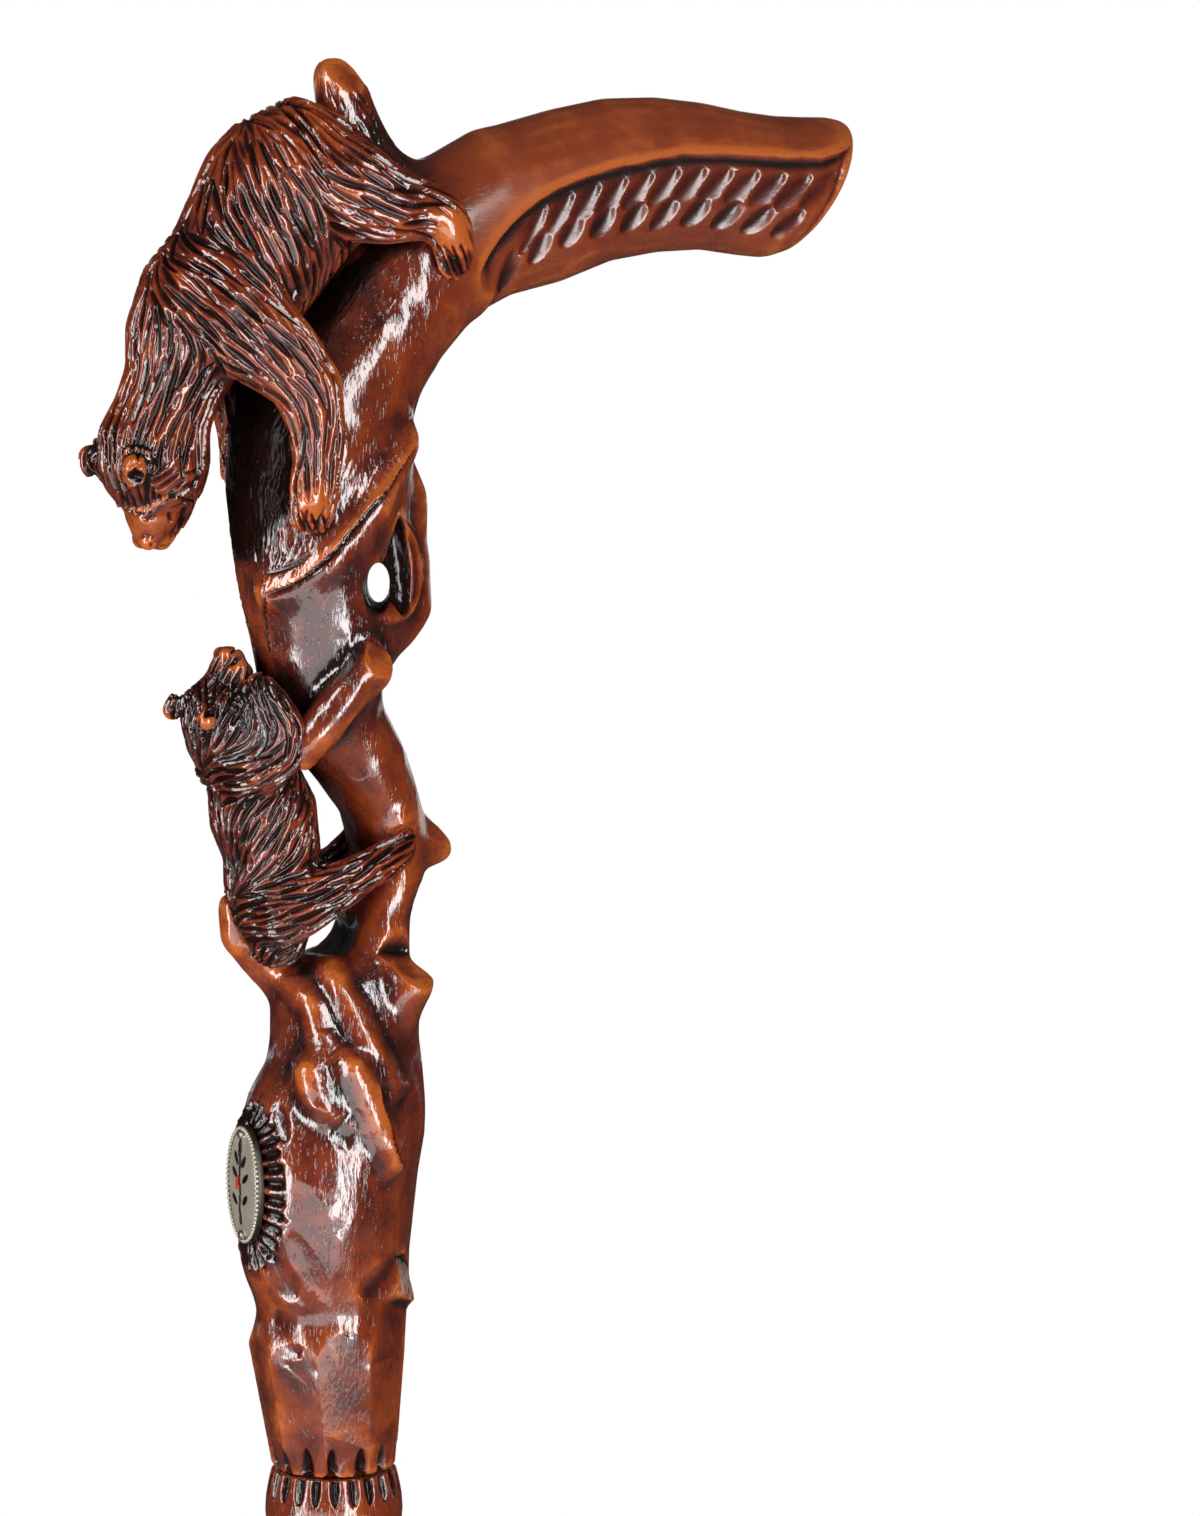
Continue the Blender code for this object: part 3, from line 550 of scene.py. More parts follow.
    def press(self, centre, axis, along, radii, taper=0.0):
        """A hollow with a crisp rim, left by an egg pressed in. Its first radius lies along."""
        axis = -unit(axis)
        second = unit(np.cross(axis, along))
        first = np.cross(second, axis)
        index = self.around(centre, max(radii) * 1.5)
        offset = self.points[index] - np.array(centre)
        share = (offset @ first) / radii[0]
        flat = share**2 + ((offset @ second) / radii[1] / (1 + taper * np.clip(share, -1, 1))) ** 2
        run = (offset @ axis) / radii[2]
        floor = np.sqrt(np.clip(1 - flat, 0, 1))
        inside = (flat < 1) & (run < floor) & (run > -1.3) & (self.normals[index] @ axis < 0.25)
        pick = index[inside]
        self.points[pick] += axis * ((floor - run)[inside] * radii[2])[:, None]
        self.depth[pick] = np.maximum(self.depth[pick], (floor - run)[inside] * radii[2])

    def bore(self, centre, axis, along, radii, reach):
        """Widens a hole to an oval: what stands inside it moves out to its wall."""
        axis = unit(axis)
        second = unit(np.cross(axis, along))
        first = np.cross(second, axis)
        index = self.around(centre, reach)
        offset = self.points[index] - np.array(centre)
        gap = np.hypot(offset @ first / radii[0], offset @ second / radii[1])
        inside = (gap < 1) & (gap > 0.05)
        flat = offset[inside] - np.outer(offset[inside] @ axis, axis)
        self.points[index[inside]] += flat * (1 / gap[inside] - 1)[:, None]

    def pare(self, place, normal, depth, reach, fade=0.02):
        """A flat cut: what stands in front of a plane, a depth under the place, is pared down to it."""
        normal = unit(normal)
        centre = np.array(place)
        index = self.around(centre, reach)
        above = (self.points[index] - centre) @ normal + depth
        pick = index[above > 0]
        gap = np.linalg.norm(self.points[pick] - centre, axis=1) / reach
        self.points[pick] -= normal * (above[above > 0] * np.clip((1 - gap) / fade, 0, 1))[:, None]
        return pick

    def pixels(self, far=False):
        """Where each point shows in the photograph, and whether it faces the camera."""
        right, up, back = (np.array(axis) for axis in camera_axes())
        eye, lens = camera_place()
        flip = np.array((1, -1 if far else 1, 1))
        offset = self.points * flip - np.array(eye)
        depth = -offset @ back
        scale = lens * PHOTO_HEIGHT / SENSOR / depth
        facing = (self.normals * flip) @ back > 0.05
        return PHOTO_WIDTH / 2 + offset @ right * scale, PHOTO_HEIGHT / 2 - offset @ up * scale, facing

    def behind(self, outline, far=False):
        """The points that show within an outline of pixels and face the camera."""
        px, py, facing = self.pixels(far)
        inside = np.zeros(self.count, bool)
        for (x0, y0), (x1, y1) in zip(outline, outline[1:] + outline[:1]):
            if y0 == y1:
                continue
            crossing = ((y0 > py) != (y1 > py)) & (px < (x1 - x0) * (py - y0) / (y1 - y0) + x0)
            inside ^= crossing
        return inside & facing

    def spread(self, values, rounds):
        """Averages values over the mesh's edges."""
        values = np.array(values, float)
        one = values.ndim == 1
        block = values[:, None] if one else values
        first, second = self.edges[:, 0], self.edges[:, 1]
        for _ in range(rounds):
            total = np.empty_like(block)
            for column in range(block.shape[1]):
                part = block[:, column]
                total[:, column] = np.bincount(first, part[second], self.count)
                total[:, column] += np.bincount(second, part[first], self.count)
            block = block * 0.35 + total / self.valence[:, None] * 0.65
        return block[:, 0] if one else block

    def around(self, centre, radius):
        found = self.near.find_range(centre, radius)
        return np.fromiter((item[1] for item in found), int, len(found))

    def gouge(self, centre, along, length, width, depth, bow=0.0, power=1.7, normal=None, skew=0.0):
        """One leaf-shaped cut. Where cuts cross, the deeper one shows."""
        index = self.around(centre, length * 0.5)
        if len(index) == 0:
            return
        up = self.normals[self.near.find(centre)[1]] if normal is None else np.array(normal)
        ahead = np.array(along, float)
        ahead -= up * (ahead @ up)
        size = np.linalg.norm(ahead)
        if size < 1e-9:
            return
        ahead /= size
        side = np.cross(up, ahead)
        offset = self.points[index] - np.array(centre)
        run = offset @ ahead
        across = offset @ side - bow * run * run
        share = run / (length * 0.5)
        span = np.sqrt(np.clip(1 - share * share, 0, 1)) * (1 + skew * share)
        half = np.maximum(width * 0.5 * span, 1e-9)
        level = np.clip(1 - np.abs(across / half) ** power, 0, 1)
        level *= depth * np.sqrt(np.clip(span, 0, None))
        level *= (self.normals[index] @ up > 0.15) & (np.abs(offset @ up) < length * 0.5)
        self.cut[index] = np.maximum(self.cut[index], level)

    def scatter(self, allowed, length, width, tries, flow):
        """Places for cuts, spaced further along the flow than across it."""
        choice = self.random.permutation(np.flatnonzero(allowed))[:tries]
        heading = flow(self.points[choice], self.normals[choice])
        kept = np.zeros((len(choice), 3))
        number = 0
        chosen = []
        for row, index in enumerate(choice):
            point = self.points[index]
            ahead = heading[row]
            offset = kept[:number] - point
            run = offset @ ahead
            rest = np.einsum("ij,ij->i", offset, offset) - run * run
            if number and np.min((run / length) ** 2 + rest / width**2) < 1:
                continue
            kept[number] = point
            number += 1
            chosen.append(row)
        return choice[chosen], heading[chosen]

    def comb(self, allowed, flow, length, width, depth, spacing, tries, swing=0.14, power=1.7):
        """Covers a region with leaf-shaped cuts that follow the flow."""
        places, headings = self.scatter(allowed, spacing[0], spacing[1], tries, flow)
        count = len(places)
        sizes = self.random.uniform(0.72, 1.25, (count, 3))
        turns = self.random.normal(0, swing, count)
        for number, index in enumerate(places):
            up = self.normals[index]
            ahead = headings[number]
            side = np.cross(up, ahead)
            heading = ahead * math.cos(turns[number]) + side * math.sin(turns[number])
            reach = length * sizes[number, 0] * 0.5
            ends = np.array([self.points[index] + heading * reach, self.points[index] - heading * reach])
            bent = flow(ends, np.array([up, up]))
            bow = float((bent[0] - bent[1]) @ side) / (4 * reach)
            self.gouge(
                self.points[index], heading, reach * 2, width * sizes[number, 1],
                depth * sizes[number, 2], bow=bow, power=power, normal=up,
            )
        return count

    def nearest(self, row):
        """The mesh's point nearest to one given in millimetres from the middle of the head's foot."""
        return self.points[self.near.find(head_point(row))[1]]

    def within(self, centre, radii):
        """1 at the middle of a ball given in millimetres, 0 outside it."""
        offset = (self.points - np.array(head_point(centre))) / (np.array(radii) * MM)
        return np.clip(1 - np.einsum("ij,ij->i", offset, offset), 0, 1)

    def relief(self, rounds):
        """How far each point stands above its surroundings, in metres."""
        smooth = self.spread(self.points, rounds)
        return np.einsum("ij,ij->i", self.points - smooth, self.normals)

    def finish(self, budget):
        """Moves the points, thins the mesh to the budget of triangles and keeps the stain's marks."""
        mesh = self.piece.data
        moved = self.points + self.normals * (self.lift - self.cut)[:, None]
        mesh.vertices.foreach_set("co", moved.astype(np.float32).ravel())
        for name in MARKS:
            values = np.clip(self.marks.get(name, np.zeros(self.count)), -1, 1)
            layer = mesh.attributes.get(name) or mesh.attributes.new(name, "FLOAT", "POINT")
            layer.data.foreach_set("value", np.asarray(values, np.float32))
        mesh.update()
        triangles = sum(len(face.vertices) - 2 for face in mesh.polygons)
        if triangles > budget:
            settle(self.piece, "DECIMATE", ratio=budget / triangles)
        smooth_shade(self.piece)


def shade_of(points, normals, reach=0.022, rays=20):
    """How much of the open space each point of the head sees, 0 to 1."""
    shape = bmesh.new()
    for node in HEAD_PIECES:
        shape.from_mesh(NODES[node].data)
    walls = BVHTree.FromBMesh(shape)
    shape.free()
    golden = math.pi * (3 - math.sqrt(5))
    open_share = np.zeros(len(points))
    for index, (point, normal) in enumerate(zip(points, normals)):
        up = Vector(normal)
        turn = up.to_track_quat("Z", "Y").to_matrix()
        start = Vector(point) + up * 0.9 * MM
        seen = 0.0
        for ray in range(rays):
            height = math.sqrt((ray + 0.5) / rays)
            flat = math.sqrt(max(0.0, 1 - height * height))
            angle = ray * golden
            way = turn @ Vector((flat * math.cos(angle), flat * math.sin(angle), height))
            place, facing, _, gap = walls.ray_cast(start, way, reach)
            from_within = place is not None and facing.dot(way) > 0
            seen += 1.0 if place is None or from_within else (gap / reach) ** 1.5
        open_share[index] = seen / rays
    return open_share


def openness(carving, voxel=2.2):
    """The open share at a carving's points, worked out on a coarse copy and spread. The lacquer paints shade
    where it is low.
    """
    coarse = carving.piece.copy()
    coarse.data = carving.piece.data.copy()
    coarse.name = "coarse"
    bpy.context.scene.collection.objects.link(coarse)
    settle(coarse, "REMESH", mode="VOXEL", voxel_size=voxel * MM)
    places = rows_of(coarse.data.vertices, "co")
    seen = shade_of(places, rows_of(coarse.data.vertex_normals, "vector"))
    tree = tree_of(places)
    old = coarse.data
    bpy.data.objects.remove(coarse)
    bpy.data.meshes.remove(old)
    pick = np.fromiter((tree.find(point)[1] for point in carving.points), int, carving.count)
    return carving.spread(seen[pick], 12)


def strokes(carving, rows, width, depth, far=False):
    """Single cuts drawn between pixels: x and y of the start, x and y of the end."""
    for row in rows:
        start, end = carving.spot(row[0], row[1], far), carving.spot(row[2], row[3], far)
        middle = carving.spot((row[0] + row[2]) / 2, (row[1] + row[3]) / 2, far)
        length = float(np.linalg.norm(end - start))
        if 0.5 * MM < length < 20 * MM:
            carving.gouge(middle, end - start, length * 1.15, width, depth, normal=carving.normal_at(middle))


def both_flanks(guides):
    """The guides of the near side and their mirror images."""
    return guides + tuple(tuple((x, -y, z, radius) for x, y, z, radius in rows) for rows in guides)


def flow_of(guides, drift):
    """A flow of cuts: along each guide's limb where a point is near it, and by the drift elsewhere."""
    lines = []
    for rows in guides:
        centres = np.array([head_point(row) for row in rows])
        radii = np.array([row[3] for row in rows]) * MM
        steps = np.linspace(0, len(rows) - 1, 10 * len(rows))
        order = np.arange(len(rows))
        path = np.stack([np.interp(steps, order, centres[:, axis]) for axis in range(3)], 1)
        lines.append((path, np.gradient(path, axis=0), np.interp(steps, order, radii)))

    def flow(points, normals):
        total = np.tile(np.array(drift, float), (len(points), 1))
        for path, tangent, radius in lines:
            gap = np.linalg.norm(points[:, None, :] - path[None, :, :], axis=2)
            pick = np.argmin(gap / radius[None, :], 1)
            reach = gap[np.arange(len(points)), pick] / radius[pick]
            weight = np.clip((1.45 - reach) / 0.5, 0, 1)[:, None]
            heading = tangent[pick] / np.linalg.norm(tangent[pick], axis=1)[:, None]
            total = total * (1 - weight) + heading * weight
        total -= normals * np.einsum("ij,ij->i", total, normals)[:, None]
        size = np.maximum(np.linalg.norm(total, axis=1), 1e-6)
        return total / size[:, None]

    return flow


# Marks kept at the points for the lacquer. seen is the open share, painted as shade where it is low; the
# last mark darkens by stain and by painted shade; on the trunk, cut and rise also carry painted shade.
MARKS = ("cut", "rise", "seen", "spot", "warm", "shade")

MOTHER_GUIDES = (
    (
        (0, -11, 269.6, 8), (3.6, -12.8, 268, 9), (8.6, -15.2, 265.8, 8), (15, -16.6, 265.2, 7),
        (20, -17.6, 262, 6),
    ),
    (
        (-28, -8, 247.4, 12), (-17.6, -17, 235.8, 9), (-13, -19, 229.6, 8), (-11.4, -19.6, 221, 7),
        (-12, -20, 206, 6),
    ),
    ((-34.6, 0, 230.6, 12), (-39.4, 0, 219, 12.4), (-39.8, 0, 209, 10.6), (-40.4, 0, 200, 5)),
)
CUB_GUIDES = (
    (
        (-22.6, -6, 149.6, 6), (-20.4, -10.2, 150.8, 6), (-16.2, -12.6, 154, 5.6),
        (-15.6, -13, 159.4, 5), (-17.8, -11.4, 164.4, 4.6),
    ),
    (
        (-14.4, -5.4, 121, 8), (-9.8, -9, 122.6, 7), (-4, -11.6, 125.4, 5.4), (2, -12.4, 128.4, 4.6),
        (11, -12.4, 133, 4),
    ),
)

# Cuts of the mother's face and paws, between pixels of the photograph: x, y, x, y.
MOTHER_CHEEK = (
    (150, 485, 174, 470), (157, 491, 184, 470), (163, 499, 186, 480), (171, 502, 202, 481),
    (152, 476, 168, 464), (176, 509, 200, 492), (184, 476, 204, 468), (186, 488, 206, 474),
    (186, 506, 204, 497), (150, 466, 160, 457), (132, 497, 136, 513), (138, 491, 142, 508),
    (145, 489, 149, 508), (153, 488, 154, 503), (159, 494, 160, 503), (125, 494, 129, 511),
    (118, 490, 123, 508), (127, 468, 137, 460), (133, 472, 145, 463),
)
MOTHER_FACE = (
    (112, 492), (130, 490), (148, 489), (153, 474), (168, 460), (190, 462), (212, 472), (208, 490),
    (196, 514), (180, 520), (126, 524), (110, 508),
)
FOREPAW = ((296, 514), (300, 496), (308, 488), (322, 488), (332, 498), (336, 514), (326, 520), (304, 522))
FOREPAW_CAP = (315, 501)
FOREPAW_TOES = (
    (299, 513, 302, 536), (307, 516, 310, 540), (316, 516, 319, 541), (325, 513, 329, 539),
    (334, 507, 339, 533),
)
HIND_PAW = ((432, 218), (446, 206), (462, 208), (470, 224), (472, 250), (462, 256), (442, 256), (434, 240))
HIND_PAW_CAP = (455, 228)
HIND_PAW_TOES = ((444, 252, 447, 279), (451, 250, 455, 282), (458, 248, 462, 280), (465, 246, 470, 273))
MOTHER_EAR_TOP = (137, 463)
MOTHER_EAR_RIM = (
    (130, 490), (122, 478), (121, 466), (126, 454), (136, 449), (147, 454), (152, 466), (151, 478),
)
MOTHER_CHIN = (165, 542)
MOTHER_BROW = ((122, 507), (134, 510), (146, 511), (158, 505), (167, 498), (173, 489))
MOTHER_EYES = ((144, 520, 155, 517), (169, 513, 171, 523))
MOTHER_MUZZLE = ((126, 520), (146, 518), (160, 516), (176, 513), (180, 540), (168, 558), (134, 558))
MOTHER_NOSE = (147, 545)
# Hollows of a face: pixel, direction of the first radius, and the radii in millimetres.
MOTHER_PRESSES = (
    ((137, 481), (0.9, 0.3, -0.3), (3, 2.2, 1.6)),
    ((151, 546), (0, 0, 1), (0.8, 0.45, 0.6)),
)
MOTHER_NOSE_EDGE = ((137, 540), (144, 536), (152, 537), (157, 543))
MOTHER_JAW_CUT = ((184, 506), (183, 517), (181, 528), (177, 540))
MOTHER_MOUTH = ((176, 541), (168, 546), (160, 546))

# The same for the cub's face.
CUB_SNOUT = ((214, 668), (216, 648), (230, 642), (248, 650), (262, 668), (252, 682), (238, 682), (228, 670))
CUB_NOSE = (224, 653)
CUB_MOUTH = ((222, 664), (232, 664), (242, 656))
CUB_CHEEK = (245, 672)
CUB_PRESSES = (
    ((214, 713), (0.9, 0.3, 0.1), (1.9, 0.8, 1.2)),
    ((236, 660), (0.6, 0, 0.8), (1.2, 0.45, 0.7)),
)
CUB_EAR_DROP = (207, 723)
CUB_HAND = (259, 670)
CUB_STRANDS = (
    (189, 735, 186, 692), (194, 733, 192, 686), (200, 708, 199, 682), (206, 704, 206, 682),
    (213, 702, 215, 684), (222, 682, 236, 691), (237, 690, 249, 703), (248, 701, 254, 719),
    (226, 708, 239, 717), (239, 713, 246, 728), (246, 676, 247, 692), (253, 676, 255, 693),
    (260, 675, 262, 692), (224, 692, 238, 700), (232, 702, 243, 712),
)

# Lines and places of the trunk, in pixels of the photograph.
TRUNK_LIP = (
    (262, 596), (267, 593), (296, 582), (323, 561), (339, 545), (358, 522), (378, 500), (393, 483),
    (408, 458), (418, 446),
)
LIP_BACK = ((262, 574), (279, 570), (298, 562), (312, 549))
SHIELD_SIDE = ((262, 574), (265, 600), (268, 640), (271, 655))
HOLE = (378.5, 582.5)
HOLE_SCOOP = (399, 566)
TWIG = (
    (-14, -11, 153, 4.4), (-9, -14, 159, 4.8), (-3.4, -16.4, 166.6, 4.6), (2, -18.2, 173, 4),
    (4, -18.8, 175.6, 3.2),
)
# Ridges and valleys: a line of pixels, with the width and rise in millimetres.
SWELLS = (
    (((262, 946), (270, 957), (291, 983), (312, 1007), (319, 1036), (336, 1060)), 9, 1.7),
    (((322, 952), (329, 965), (343, 993), (360, 1024), (374, 1050), (392, 1078), (402, 1100)), 9, 1.7),
    (((300, 1052), (302, 1076), (316, 1104), (340, 1126)), 11, 1.5),
    (((340, 1048), (360, 1070), (374, 1100), (386, 1140), (400, 1172)), 10, 1.6),
    (((324, 1040), (332, 1070), (344, 1100), (360, 1134)), 8, -0.5),
    (((361, 1299), (382, 1281), (402, 1256)), 9, -0.7),
    (((396, 516), (412, 538), (419, 572), (415, 602), (400, 617), (376, 616)), 3.4, 0.7),
)
# Places that are smoothed: middle and half sizes in millimetres, share and rounds.
CALM = (
    ((24, 0, 272), (18, 40, 30), 1, 160),
    ((4, -17, 84), (13, 10, 17), 1, 140),
    ((0, -10, 104), (24, 20, 20), 0.8, 60),
    ((-5, -15, 82), (16, 11, 20), 1, 240),
    ((-4, -15, 169), (15, 10, 16), 0.9, 45),
    ((-7, -15, 101), (10, 9, 14), 0.9, 80),
)
MEDALLION = (-20.5, 0, 62.2)
BURR_HEART = (336, 1108)
BURR_EDGE = ((404, 1172), (395, 1150), (388, 1125), (383, 1104), (378, 1084))
BURR_FOOT = ((291, 1082), (296, 1098), (308, 1113), (325, 1126), (351, 1143), (364, 1152))
# Flat cuts: pixel, direction, depth and reach in millimetres, and how light the face is.
KNOT_FACES = (
    ((378, 661), (0.3, -0.8, 0.52), 1.5, 6, 0.8),
    ((411, 966), (0.2, -0.55, 0.81), 1.9, 7.5, 0.8),
    ((411, 1288), (0.74, -0.63, 0.24), 1.5, 7.5, 0),
    ((342, 76), (0.12, -0.8, 0.58), 1.0, 9, 0.6),
)
# Shallow chisel cuts: pixels of both ends, with the width and depth in millimetres.
FACETS = ((270, 1260, 292, 1298, 8, 0.6), (276, 1314, 294, 1356, 9, 0.6), (275, 1106, 284, 1140, 5, 0.5))
# Scratched bark: outline in pixels, direction, and each cut's length, width and depth in millimetres.
BARK = (
    (((262, 500), (300, 496), (316, 545), (296, 572), (262, 574)), (0.3, 0, 0.9), 3.4, 1.0, 0.35),
    (((318, 262), (412, 262), (400, 300), (372, 330), (345, 372), (318, 366)), (0.6, 0, 0.8), 7, 0.9, 0.2),
    (((228, 512), (262, 512), (266, 600), (272, 655), (262, 660), (228, 600)), (0.06, 0, -1), 7, 1.1, 0.3),
    (((335, 470), (372, 440), (384, 470), (350, 515), (338, 520)), (0.4, 0, 0.9), 3, 0.9, 0.22),
    (((330, 95), (376, 100), (410, 160), (400, 175), (360, 150)), (0.5, 0, -0.9), 6, 1.2, 0.35),
    (((212, 400), (300, 400), (318, 430), (300, 530), (240, 570), (214, 500)), (0.3, 0, 0.9), 3, 1.6, 0.25),
)
TWIG_BODY = (
    (290, 712), (318, 672), (352, 640), (376, 636), (394, 655), (388, 680), (350, 714), (318, 737),
    (298, 737),
)
STUB_BODY = (
    (316, 64), (327, 91), (345, 94), (374, 90), (384, 124), (414, 165), (378, 160), (342, 138), (318, 96),
)
# Outline of the hollow under the mother's arm, where the trunk gets painted shade.
ARM_HOLLOW_SHADE = (
    (212, 396), (300, 392), (318, 420), (300, 440), (296, 480), (290, 512), (262, 548), (236, 560),
    (220, 520), (214, 470),
)
SHIELD = (
    (262, 600), (300, 586), (330, 560), (362, 524), (384, 505), (398, 560), (396, 612), (372, 640),
    (345, 655), (320, 690), (280, 690),
)
PANEL_BORDER = (
    (478, 276), (480.7, 271.6), (493.3, 250.6), (501.7, 237.9), (513, 223.9), (527, 209.9), (541, 198.7),
    (559.3, 187.4), (577.5, 179), (597, 172), (621, 165), (643.5, 160.8), (664, 156), (685, 152),
    (730, 152), (786, 155.5), (825, 156), (838, 151), (850, 146), (862, 140),
)
# How many cuts a row has, and as first value and increment: right end, run, and both ends below the border.
PANEL_ROWS = (
    (12, (545, 26.5), (22, 1), (38, 1.3), (13, 0.8)),
    (10, (516, 32), (14, 1.8), (54, 3.2), (33, 2.7)),
)
PANEL_FOOT = (
    (478, 296), (500, 292.7), (529.8, 281), (559, 271.6), (574.7, 259), (591.5, 249), (608, 246),
    (660, 243.6), (760, 250), (800, 246), (862, 226),
)


def lacquer_finish(name, level, wear=1.0, pores=0.5, grain=0.0):
    """Stained and lacquered wood: dark in the cuts, rubbed back on the ridges, with pores in its gloss, and
    painted shade where a point sees little open space.

    It reads the marks that the carving leaves: cut, rise, seen, spot, warm, and the mark of darker stain and
    painted shade.
    """
    tint = stain()
    make = Finish(name)
    here = make.place()
    seen = make.value("seen")
    patches = make.noise(here, 170, 4, 0.65)
    cloud = make.noise(here, 48, 4, 0.6)
    warm = make.value("warm")
    cut = make.value("cut")
    tone = level + (cloud - 0.5) * (0.9 - warm * 0.4) + (patches - 0.5) * (0.8 - warm * 0.5)
    tone = tone + make.value("rise") * wear + make.value("spot") * 0.34 + warm * 0.17
    # Darker where the stain-and-shade mark is high and in the cuts, with painted shade where the point sees
    # little open space.
    tone = tone - make.value("shade") * 0.28 - cut * 0.75 - (0.7 - seen).greater(0) * 1.3
    base = make.stained(tone, (0.02, 0.17, 0.33, 0.52, 0.7, 0.92))
    pits = make.noise(make.place(scale=(1, 1, 0.2)), 1700, 2, 0.5).step(0.57, 0.68)
    along = make.noise(make.place(scale=(0.2, 1, 1)), 1700, 2, 0.5).step(0.57, 0.68)
    pits = pits * (1 - warm) + along * warm
    pits = pits * (1 - warm * 0.6)
    base = make.mix(pits * 0.5 * pores, base, opaque(tint.deep))
    strands = make.noise(make.place(scale=(1, 1, 0.3)), 1700, 2, 0.5)
    height = (1 - pits) * 0.5 + patches * 0.2 + cloud * 0.5 + strands * (1 - warm) * grain
    gloss = make.shader(
        base_color=base,
        roughness=tint.lacquer + pits * 0.16 + warm * 0.12,
        specular_ior_level=1.0,
        ior=1.65,
        normal=make.bump(height, 0.075 * MM, pores),
    )
    dull = make.add("ShaderNodeBsdfDiffuse", None, {"Color": base})
    # Dull diffuse where little open space is seen or a cut is deep, so the painted shade there keeps no
    # gloss.
    hidden = ((0.62 - seen).step(0, 0.3) * 0.94).greater(cut * 0.78)
    return make.end(make.add("ShaderNodeMixShader", None, {0: hidden, 1: gloss, 2: dull}))


def press_face(work, presses, rounds):
    """Presses ears, eyes and nostrils into both sides of a face and rounds their rims."""
    for far in SIDES:
        side = 1 if far else -1
        for pixel, (x, y, z), radii in presses:
            size = np.array(radii) * MM
            work.press(work.spot(*pixel, far), (-0.3, 0.9 * side, 0.1), (x, y * side, z), size)
    work.relax(np.clip(work.spread(work.depth > 0, 2) * 2, 0, 1), rounds)
    work.bake()


class CANE_OT_mother_bear(bpy.types.Operator):
    """Carve the mother bear's fur, face and paws."""

    bl_idname = "cane.mother_bear"
    bl_label = "Mother bear"

    def execute(self, context):
        fur = context.scene.cane_fur
        piece = copy_nodes("mother_bear_fur", ["mother_bear"])
        melt(piece, 0.8, 8)
        melt(piece, 0.3, 4)
        work = Carving(piece, fur.seed)
        muzzle = work.within((-41, 0, 199.6), (8.6, 7.4, 7.2)) > 0
        head = work.within((-42, 0, 208), (16, 16, 17)) > 0
        paws = np.zeros(work.count, bool)
        face = np.zeros(work.count, bool)
        for far in SIDES:
            muzzle |= work.behind(MOTHER_MUZZLE, far)
            paws |= work.behind(FOREPAW, far) | work.behind(HIND_PAW, far)
            face |= work.behind(MOTHER_FACE, far)
            for cap, reach in ((FOREPAW_CAP, 3.2 * MM), (HIND_PAW_CAP, 4.4 * MM)):
                work.mound(work.spot(*cap, far), reach, 0.8 * MM)
            face[work.around(work.spot(*MOTHER_EAR_TOP, far), 5 * MM)] = True
            work.mound(work.spot(*MOTHER_EAR_TOP, far), 4.4 * MM, 0.4 * MM)
            work.ridge(work.trace(MOTHER_EAR_RIM, far), 2.4 * MM, 0.9 * MM)
            work.mound(work.spot(*MOTHER_CHIN, far), 3 * MM, 1.2 * MM)
            work.lip(work.trace(MOTHER_BROW, far), 1.1 * MM, 3.4 * MM, 0.5 * MM, 1.6 * MM)
            work.mound(work.spot(*MOTHER_NOSE, far), 2.4 * MM, 0.7 * MM)
        work.bake()
        press_face(work, MOTHER_PRESSES, 4)
        flow = flow_of(both_flanks(MOTHER_GUIDES), (0.44, 0, -0.9))
        furry = ~muzzle & ~paws & ~face
        work.comb(furry, flow, fur.length, fur.width, fur.depth, (6.6 * MM, 2.15 * MM), 26000, 0.1, 2)
        small = furry & (work.spread(work.cut, 14) < fur.depth * 0.1)
        work.comb(small, flow, 6 * MM, 1.2 * MM, 0.5 * MM, (4.5 * MM, 1.5 * MM), 22000, 0.1)
        for far in SIDES:
            strokes(work, MOTHER_CHEEK, 1.2 * MM, 0.8 * MM, far)
            strokes(work, MOTHER_EYES, 1.3 * MM, 0.8 * MM, far)
            strokes(work, FOREPAW_TOES + HIND_PAW_TOES, 1.1 * MM, 1.2 * MM, far)
            work.groove(work.trace(MOTHER_JAW_CUT, far), 1.8 * MM, 1.4 * MM)
            work.groove(work.trace(MOTHER_MOUTH, far), 0.9 * MM, 0.7 * MM)
            work.groove(work.trace(MOTHER_NOSE_EDGE, far), 0.8 * MM, 0.5 * MM)
        work.marks["cut"] = np.clip(np.maximum(work.cut, work.depth * 0.6) / (0.9 * MM), 0, 1) ** 1.3
        work.marks["rise"] = work.relief(24) / (0.5 * MM)
        # The open share, which the lacquer paints as shade where it is low.
        work.marks["seen"] = openness(work)
        work.marks["spot"] = work.spread(paws * 0.8 + (muzzle & ~paws) * 0.3, 6)
        # The head, apart from its muzzle, a little darker.
        work.marks["shade"] = work.spread((head & ~muzzle) * 0.5, 12)
        work.finish(LARGE_MESH)
        dress(piece, lacquer_finish("mother_fur_lacquer", 0.6, 1.15, 0.1))
        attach(piece, "handle")
        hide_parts("mother_bear")
        return {"FINISHED"}

